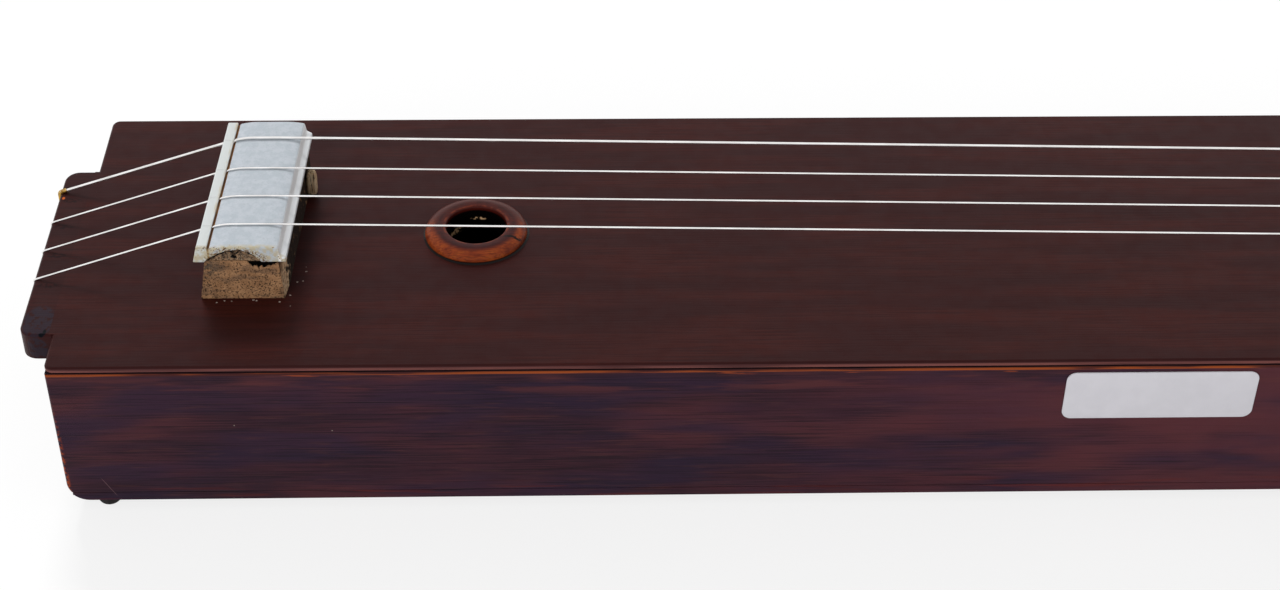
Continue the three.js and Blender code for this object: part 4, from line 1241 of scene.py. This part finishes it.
def arch_filler():
    """The lumpy fill under the arch, with a dark slit near its middle."""
    steps = 30
    depth = 8
    low = PLATE_UNDERSIDE - 0.4
    sections = []
    for i in range(depth + 1):
        y = BRIDGE_NEAR + 1.9 + 2.2 * i / depth if i < depth else -BRIDGE_NEAR - 1
        line = []
        for share in (-1 + 2 * k / steps for k in range(steps + 1)):
            x, z = arch_point(share * 0.985)
            z -= 1.5 + 0.7 * lump(x * 0.7, y, 1)
            line.append((x, max(z, low - 0.1 * (1 - share * share))))
        line += [(line[-1][0], low - 0.1), (line[0][0], low - 0.1)]
        rough = 0 if i else 0.35
        sections.append([skewed(x, y + rough * lump(x, z, 2), z) for x, z in line])
    filler = piece("arch_filler", loft(sections), pitch_filler(), "bridge_wood", smooth=50)
    slit = (
        *((82.6, 24.3), (84.2, 23.4), (85.6, 24), (85, 25.6), (86.6, 26.9)),
        *((86.4, 29.4), (81.8, 29.4), (82, 27.4), (83.4, 26.6), (83.2, 25.4)),
    )
    ends = (BRIDGE_NEAR - 2, BRIDGE_NEAR + 3.9)
    carve(filler, loft([[skewed(x, y, z) for x, z in slit] for y in ends]), 50)


def split_wedge():
    """A split offcut stood against the head side of the block."""

    def bulged(value, power):
        """A cosine or sine moved out towards the corners of a box."""
        return copysign(abs(value) ** power, value)

    low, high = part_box("bridge_wedge")
    tucked = 3.7
    wider = 1.2
    centre = (low + high) / 2 - Vector((tucked * MM, 0, 0))
    half = (high - low) / 2
    rows = 24
    around = 28
    rings = []
    for i in range(rows + 1):
        lift = pi * i / rows - pi / 2
        ring = []
        for j in range(around):
            angle = 2 * pi * j / around
            x, y = bulged(cos(angle), 0.5), bulged(sin(angle), 0.5)
            z = bulged(sin(lift), 0.55)
            rough = 1 + 0.16 * lump(x * 1.6, y * 1.6, z * 1.1)
            reach = abs(cos(lift)) ** 0.4 * rough * (1 - 0.22 * max(z, 0))
            way = Vector((wider * half.x * x * reach, half.y * y * reach, half.z * z))
            ring.append(centre + way)
        rings.append(ring)
    material = rough_mango("split_mango", wedge_light_and_grain)
    wedge = piece("split_wedge", skin(rings), material, "bridge_wood", "bridge_wedge", 60)
    face_out(wedge.data, 0.02)


def glue_specks():
    """Drops of glue squeezed out at the foot of the block."""
    chance = random.Random(4)
    places = [(76.1, -51.9), (89.6, -51.3), (91.2, -51.8)]
    places += [(106.4, -47.9), (108.8, -37.8), (107.3, -56)]
    places += [(chance.uniform(70, 110), -50.4 - abs(chance.gauss(0.3, 1.6))) for _ in range(4)]
    places += [(111.2 + chance.uniform(0, 1.5), chance.uniform(-44, 20)) for _ in range(3)]
    drops = []
    for x, y in places:
        radius = chance.uniform(0.2, 0.48)
        profile = [(0, -0.05), *((radius * c, radius * 0.5 * s) for c, s in quarter(4)[:-1])]
        profile.append((0, radius * 0.5))
        drops.append(lathe(profile, 12, lambda a, b, c: at(x + a * 1.3, y + b, c)))
    piece("glue_specks", joined(drops), dried_glue(), "plate_white")


class TANPURA_OT_bridge(bpy.types.Operator):
    """Makes the bridge: its moulded plate, rough block, filler, wedge and specks of glue"""

    bl_idname = "tanpura.bridge"
    bl_label = "Bridge"

    def execute(self, context):
        bridge_plate()
        bridge_block()
        arch_filler()
        split_wedge()
        glue_specks()
        return {"FINISHED"}


# Strings


def pin_hook(i):
    """From the free end round the pin to where the string runs up the ledge."""
    radius = string_radius(i)
    reach = PIN_RADIUS + SEAT + radius
    x = LEDGE_FACE + EDGE_BITE - radius
    steps = 28
    points = []
    for k in range(steps + 1):
        angle = 2 * pi * HOOK_TURN * k / steps
        y = STRING_PLACES[i] + reach * cos(angle)
        points.append(at(x, y, -PIN_DROP - reach * sin(angle)))
    end = points[-1] + (points[-1] - points[-2]).normalized() * (HOOK_END * MM)
    return [end, *reversed(points)]


def ledge_bend(i):
    """Where the string bends over the edge of the ledge, on its way up."""
    clear = string_radius(i) - EDGE_BITE
    points = []
    for k in range(9):
        angle = pi * (1 - 0.4 * k / 8)
        x = LEDGE_FACE - clear + BEND_RADIUS + BEND_RADIUS * cos(angle)
        z = clear - BEND_RADIUS + BEND_RADIUS * sin(angle)
        points.append(at(x, STRING_PLACES[i], z))
    return points


def string_route(i):
    y = STRING_PLACES[i]
    points = pin_hook(i) + ledge_bend(i)
    points += [skewed(RIB_TAIL, y, RIB_HOLE_HEIGHT)]
    points += [skewed(RIB_HEAD, y, RIB_HOLE_HEIGHT + RIB_HOLE_RISE)]
    for run in (0.4, 1.5, 3, 4.5, 6, 7.5, 9, 12, 15, 18, 21):
        points.append(skewed(CROWN_START + run, y, crown_height(run) + string_radius(i) + SEAT))
    for place, thickness, height in (
        (NUT_PLACE, NUT_THICKNESS, NUT_STRING - STRING_GAP + SEAT),
        (GUIDE_PLACE, GUIDE_THICKNESS, GUIDE_STRING),
    ):
        points += [at(place + side * thickness / 2, y, height) for side in (-1, 1)]
    first = first_angle(i)
    points += [winding_point(i, first, k / WINDING_STEPS) for k in range(15)]
    return points


def post_side(i):
    return 1 if POST_PLACES[i][1] > 0 else -1


def first_angle(i):
    """Where the string meets its post."""
    x, y = POST_PLACES[i]
    back = Vector((GUIDE_PLACE + GUIDE_THICKNESS / 2 - x, STRING_PLACES[i] - y))
    reach = POST_WAIST + SEAT + string_radius(i)
    return atan2(back.y, back.x) + post_side(i) * acos(reach / back.length)


def winding_height(i, turn):
    return WINDING_RISE + (2 * string_radius(i) + SEAT) * turn


def winding_point(i, first, turn, height=None, out=0):
    """A point of the string on its post, at a height of its own and further out where given."""
    x, y = POST_PLACES[i]
    reach = POST_WAIST + SEAT + string_radius(i) + out
    angle = first + post_side(i) * 2 * pi * turn
    if height is None:
        height = winding_height(i, turn)
    return at(x + reach * cos(angle), y + reach * sin(angle), height)


def string_turns(i):
    """The turns that go round with the post, up to the string's end in the post's hole."""
    first = first_angle(i)
    hole = 0 if post_side(i) * first < 0 else pi
    # The last turn ends just before the hole, whose axis is along X
    over = (post_side(i) * (hole - first) / (2 * pi)) % 1
    last = (4 if i else 3) + over - 0.3
    start = 0.25
    steps = round(WINDING_STEPS * last)
    points = [winding_point(i, first, start + (last - start) * k / steps) for k in range(steps + 1)]
    low = winding_height(i, last)
    rise = 12
    for share in (k / rise for k in range(1, rise + 1)):
        ease = share * share * (3 - 2 * share)
        height = low + (POST_HOLE_RISE - low) * ease
        out = (POST_RADIUS + 0.25 - POST_WAIST) * ease
        points.append(winding_point(i, first, last + 0.3 * share, height, out))
    x, y = POST_PLACES[i]
    way = -1 if hole else 1
    return points + [at(x + way * reach, y, POST_HOLE_RISE) for reach in (2.4, 0, -3.2, -5.6)]


def brass_wrap():
    """A bit of brass wire wrapped round the bass string where it bends over the ledge."""
    y = STRING_PLACES[0]
    radius = string_radius(0)
    clear = radius - EDGE_BITE
    line = [at(LEDGE_FACE + 3.2, y, clear + 0.95), *reversed(ledge_bend(0))]
    line.append(at(LEDGE_FACE - clear, y, -5.2))
    lengths = [0]
    for a, b in zip(line, line[1:]):
        lengths.append(lengths[-1] + (b - a).length)
    pitch = WRAP_PITCH * MM
    reach = (radius + WRAP_WIRE) * MM
    steps = round(lengths[-1] / pitch * 14)
    across = Vector((0, 1, 0))
    points = []
    for k in range(steps + 1):
        run = lengths[-1] * k / steps
        j = max(n for n in range(len(lengths) - 1) if lengths[n] <= run)
        share = (run - lengths[j]) / (lengths[j + 1] - lengths[j])
        centre = line[j].lerp(line[j + 1], min(share, 1))
        over = (line[j + 1] - line[j]).normalized().cross(across)
        angle = 2 * pi * run / pitch
        points.append(centre + across * reach * cos(angle) + over * reach * sin(angle))
    loose = points[-1]
    for way in ((-0.3, -0.9, -0.2), (-0.9, -2.2, 0.4), (-1.1, -3.6, 1.4)):
        points.append(loose + Vector(way) * MM)
    shape = tube(points, WRAP_WIRE * MM, 8)
    piece("brass_wrap", shape, cut_brass("drawn_brass_wire"), "gear_brass", smooth=60)


class TANPURA_OT_strings(bpy.types.Operator):
    """Draws the four strings from their pins over the bridge to the turns on their posts"""

    bl_idname = "tanpura.strings"
    bl_label = "Strings"

    def execute(self, context):
        plain = music_wire("drawn_music_wire")
        wound = music_wire("wrapped_music_wire", wrapped=True)
        for i in range(len(STRING_PLACES)):
            look = (plain if i else wound, "string_steel")
            radius = string_radius(i) * MM
            n = i + 1
            run = tube(string_route(i), radius)
            piece(f"wire_{n}", run, *look, f"string_{n}", 60)
            turns = tube(string_turns(i), radius)
            piece(f"wire_turns_{n}", turns, *look, smooth=60, rides=f"tuner_spindle_{n}")
        brass_wrap()
        return {"FINISHED"}


class TANPURA_OT_nut_and_guide(bpy.types.Operator):
    """Finishes the nut and the string guide at the head end of the box"""

    bl_idname = "tanpura.nut_and_guide"
    bl_label = "Nut and Guide"

    def execute(self, context):
        plain = moulded_plate("moulded_urea_nut")
        soften("nut", plain, 0.2)
        soften("string_guide", plain, 0.2)
        return {"FINISHED"}


# Tuners


class Tuner:
    """The pieces of one tuner. Its button's shaft points away from the middle of the plank"""

    def __init__(self, number):
        self.n = number
        self.x, self.y = POST_PLACES[number - 1]
        self.side = 1 if self.y > 0 else -1
        self.key = f"tuner_key_{number}"
        self.spindle = f"tuner_spindle_{number}"

    def piece(self, name, node, shape, look, **how):
        return piece(f"{name}_{self.n}", shape, *look, f"tuner_{node}_{self.n}", **how)

    def on_post(self, a, b, height):
        return at(self.x + a, self.y + b, height)

    def on_key(self, a, along, up):
        """A point of the key, given across its shaft, along it and up."""
        y = self.y + self.side * along
        return at(self.x - DRIVE_DISTANCE + a, y, WORM_HEIGHT + self.side * up)

    def post(self, steel):
        cap = POST_RISE - POST_CAP
        shank = FERRULE_RIM_HEIGHT + 0.3
        low = reach_of(f"tuner_post_{self.n}", 0, "z") - BOARD_TOP
        taper = POST_RADIUS - POST_WAIST
        profile = [(0, low), (POST_STUB, low), (POST_STUB, PLATE_BOTTOM)]
        profile += [(POST_RADIUS, PLATE_BOTTOM), (POST_RADIUS, shank)]
        turn = [(k / 6, c, s) for k, (c, s) in enumerate(quarter(6))]
        profile += [(POST_RADIUS - taper * share, shank + (1 - c)) for share, c, s in turn[1:]]
        profile += [(POST_WAIST + taper * share, cap - 1 + s) for share, c, s in turn]
        edge = 0.8
        inner, under = POST_RADIUS - edge, POST_RISE - edge
        profile += [(inner + edge * c, under + edge * s) for share, c, s in turn]
        profile.append((0, POST_RISE + 0.05))
        shape = lathe(profile, 48, self.on_post)
        obj = self.piece("turned_post", "post", shape, steel, rides=self.spindle)
        hole = [self.on_post(side * 2 * POST_RADIUS, 0, POST_HOLE_RISE) for side in (-1, 1)]
        carve(obj, tube(hole, POST_HOLE_RADIUS * MM, 24))

    def ferrule(self, steel):
        bore = POST_RADIUS + 0.3
        profile = [(bore, -FERRULE_DEPTH), (FERRULE_RADIUS, -FERRULE_DEPTH)]
        profile += [(FERRULE_RADIUS, 0.02), (FERRULE_RIM, 0.02)]
        for c, s in quarter(6):
            profile.append((FERRULE_RIM - 0.9 + 0.9 * c, FERRULE_RIM_HEIGHT - 0.9 + 0.9 * s))
        profile += [(bore + 0.2, FERRULE_RIM_HEIGHT), (bore, FERRULE_RIM_HEIGHT - 0.2)]
        self.piece("turned_ferrule", "ferrule", lathe(profile, 48, self.on_post, True), steel)

    def worm(self, steel):
        tip, end = 11.3, 32.7
        collar, collar_radius = 8.7, 3.1
        flange, flange_radius = 23.7, 3.4
        root = WORM_ROOT
        profile = [(0, -tip), (root - 0.3, -tip), (root, -tip + 0.3)]
        profile += [(root, -collar), (collar_radius, -collar)]
        profile += [(collar_radius, -collar + 0.8), (root, -collar + 0.8)]
        profile += [(root, collar - 0.8), (collar_radius, collar - 0.8)]
        profile += [(collar_radius, collar), (root, collar), (root, flange - 1.4)]
        profile += [(flange_radius - 0.2, flange - 1.4), (flange_radius, flange - 1.2)]
        profile += [(flange_radius, flange), (root, flange), (root, end), (0, end)]
        shape = lathe(profile, 48, lambda a, b, along: self.on_key(a, along, b))
        obj = self.piece("cut_worm", "worm", shape, steel, smooth=35, rides=self.key)
        turns = 3.4
        steps = 120
        run_out = 34
        flank = tan(radians(20))
        buried = root - 0.3
        sections = []
        for k in range(steps + 1):
            angle = (k / steps - 0.5) * turns * 2 * pi
            share = min(k, steps - k, run_out) / run_out
            crest = buried + (WORM_TIP - buried) * max(share, 0.12)
            along = WORM_PITCH * angle / (2 * pi)
            section = []
            for radius, sign in ((buried, -1), (crest, -1), (crest, 1), (buried, 1)):
                half = WORM_PITCH / 4 - 0.15 + (WORM_RADIUS - radius) * flank
                a, up = radius * cos(angle), -radius * sin(angle)
                section.append(self.on_key(a, along + sign * half, up))
            sections.append(section)
        carve(obj, loft(sections), 35, "UNION")

    def button(self, cream):
        half, neck, long = BUTTON_WIDTH / 2, BUTTON_NECK / 2, BUTTON_LENGTH
        bends = [
            ((neck, 0), (neck, 0.2 * long), (half, 0.15 * long), (half, 0.5 * long)),
            ((half, 0.5 * long), (half, 0.85 * long), (0.6 * half, long), (0, long)),
        ]
        bends += [tuple((-a, b) for a, b in reversed(bend)) for bend in reversed(bends)]
        outline = []
        steps = 18
        for bend in bends:
            a, b, c, d = (Vector(p) for p in bend)
            for t in (k / steps for k in range(steps)):
                s = 1 - t
                outline.append(a * s**3 + b * (3 * s * s * t) + c * (3 * s * t * t) + d * t**3)
        outline.append(Vector((-neck, 0)))
        top = BUTTON_THICKNESS / 2

        def place(a, b, c):
            return self.on_key(a, BUTTON_STAND_OFF + b, c)

        shape = slab(outline, -top, top, BUTTON_EDGE, place, steps=8)
        obj = self.piece("moulded_button", "button", shape, cream, smooth=50, rides=self.key)
        carve(obj, tube([place(0, -1, 0), place(0, 9, 0)], 2.3 * MM, 24), 50)

    def screw(self, a, b, level, radius, height):
        """The domed head of a screw, upside down below a level."""
        profile = [(0, -0.6), (radius * 0.8, -0.6), (radius, 0)]
        profile += [(radius * c, height * s) for c, s in quarter(6)[1:-1]]
        profile.append((0, height))
        return lathe(profile, 28, lambda u, v, w: self.on_post(a + u, b + v, level - w))

    def slot_cut(self, obj, a, b, level, reach, angle):
        """Cuts the slot of a screw."""
        way = Vector((cos(angle), sin(angle)))
        across = Vector((-way.y, way.x)) * 0.28
        corners = [way * reach + across, way * -reach + across]
        corners += [way * -reach - across, way * reach - across]
        levels = (level - 0.5, level + 0.7)
        cut = [[self.on_post(a + c.x, b + c.y, height) for c in corners] for height in levels]
        carve(obj, loft(cut), 50)

    def screws(self, steel):
        """Round-head wood screws under the tuner plate."""
        heads = joined([self.screw(a, b, PLATE_BOTTOM, 1.9, 1.1) for a, b in SCREW_PLACES])
        obj = piece(f"plate_screws_{self.n}", heads, *steel, smooth=50)
        chance = random.Random(self.n)
        for a, b in SCREW_PLACES:
            self.slot_cut(obj, a, b, PLATE_BOTTOM - 1.2, 2.2, chance.uniform(0, pi))

    def gear_screw(self, steel):
        """The screw that holds the worm wheel on its post."""
        low = reach_of(f"tuner_gear_{self.n}", 0, "z") - BOARD_TOP
        shape = self.screw(0, 0, low, 2.6, 1.3)
        obj = piece(f"gear_screw_{self.n}", shape, *steel, smooth=50, rides=self.spindle)
        self.slot_cut(obj, 0, 0, low - 1.4, 3, 0.5 + self.n)


class TANPURA_OT_tuners(bpy.types.Operator):
    """Finishes the head plank and makes the four worm tuners"""

    bl_idname = "tanpura.tuners"
    bl_label = "Head and Tuners"

    def execute(self, context):
        board = context.scene.tanpura_colours.board
        wood = stained_toon("stained_toon_head", board, "2a0f0c", "3a1611")
        soften("head_plank", wood, 0.4)
        steel = (plated_steel("nickel_plated_steel"), "steel")
        cream = (moulded_button(), "button_cream")
        brass = cut_brass("cut_brass")
        for number in range(1, len(POST_PLACES) + 1):
            soften(f"tuner_plate_{number}", steel[0], 0.2)
            soften(f"tuner_gear_{number}", brass, 0.12)
            tuner = Tuner(number)
            tuner.post(steel)
            tuner.ferrule(steel)
            tuner.worm(steel)
            tuner.button(cream)
            tuner.screws(steel)
            tuner.gear_screw(steel)
        return {"FINISHED"}


class TANPURA_OT_blank_plate(bpy.types.Operator):
    """Glues a blank white plate with round corners on the front side"""

    bl_idname = "tanpura.blank_plate"
    bl_label = "Blank Plate"

    def execute(self, context):
        sizes = context.scene.tanpura_sizes
        tail, head = BLANK_START, BLANK_START + sizes.plate_length / MM
        low, top = BLANK_TOP - sizes.plate_height / MM, BLANK_TOP
        corners = ((tail, low), (head, low), (head, top), (tail, top))
        outline = fillet([(*corner, BLANK_CORNER) for corner in corners], 10)

        def place(x, z, out):
            return at(x, FRONT - out, z)

        shape = slab(outline, 0, BLANK_THICKNESS, 0.3, place, steps=3)
        piece("blank_plate", shape, white_laminate(), "plate_white")
        return {"FINISHED"}


STEPS = (
    TANPURA_OT_stage,
    TANPURA_OT_strings,
    TANPURA_OT_sound_box,
    TANPURA_OT_tail_ledge,
    TANPURA_OT_sound_ring,
    TANPURA_OT_bridge,
    TANPURA_OT_nut_and_guide,
    TANPURA_OT_tuners,
    TANPURA_OT_blank_plate,
)


class TANPURA_PT_panel(bpy.types.Panel):
    """Lists the sizes, the colours and the pieces of the tanpura"""

    bl_label = "Box Tanpura"
    bl_idname = "TANPURA_PT_panel"
    bl_space_type = "VIEW_3D"
    bl_region_type = "UI"
    bl_category = "Tanpura"

    def draw(self, context):
        layout = self.layout
        for group in (context.scene.tanpura_sizes, context.scene.tanpura_colours):
            box = layout.box()
            for name in group.__annotations__:
                box.prop(group, name)
        column = layout.column()
        for step in STEPS:
            column.operator(step.bl_idname)


CLASSES = (TanpuraSizes, TanpuraColours, *STEPS, TANPURA_PT_panel)


def register():
    for cls in CLASSES:
        bpy.utils.register_class(cls)
    bpy.types.Scene.tanpura_sizes = bpy.props.PointerProperty(type=TanpuraSizes)
    bpy.types.Scene.tanpura_colours = bpy.props.PointerProperty(type=TanpuraColours)


def unregister():
    del bpy.types.Scene.tanpura_colours
    del bpy.types.Scene.tanpura_sizes
    for cls in reversed(CLASSES):
        bpy.utils.unregister_class(cls)


def main():
    register()
    bpy.ops.tanpura.stage()
    bpy.ops.tanpura.strings()
    bpy.ops.tanpura.sound_box()
    bpy.ops.tanpura.tail_ledge()
    bpy.ops.tanpura.sound_ring()
    bpy.ops.tanpura.bridge()
    bpy.ops.tanpura.nut_and_guide()
    bpy.ops.tanpura.tuners()
    bpy.ops.tanpura.blank_plate()


if __name__ == "__main__":
    main()
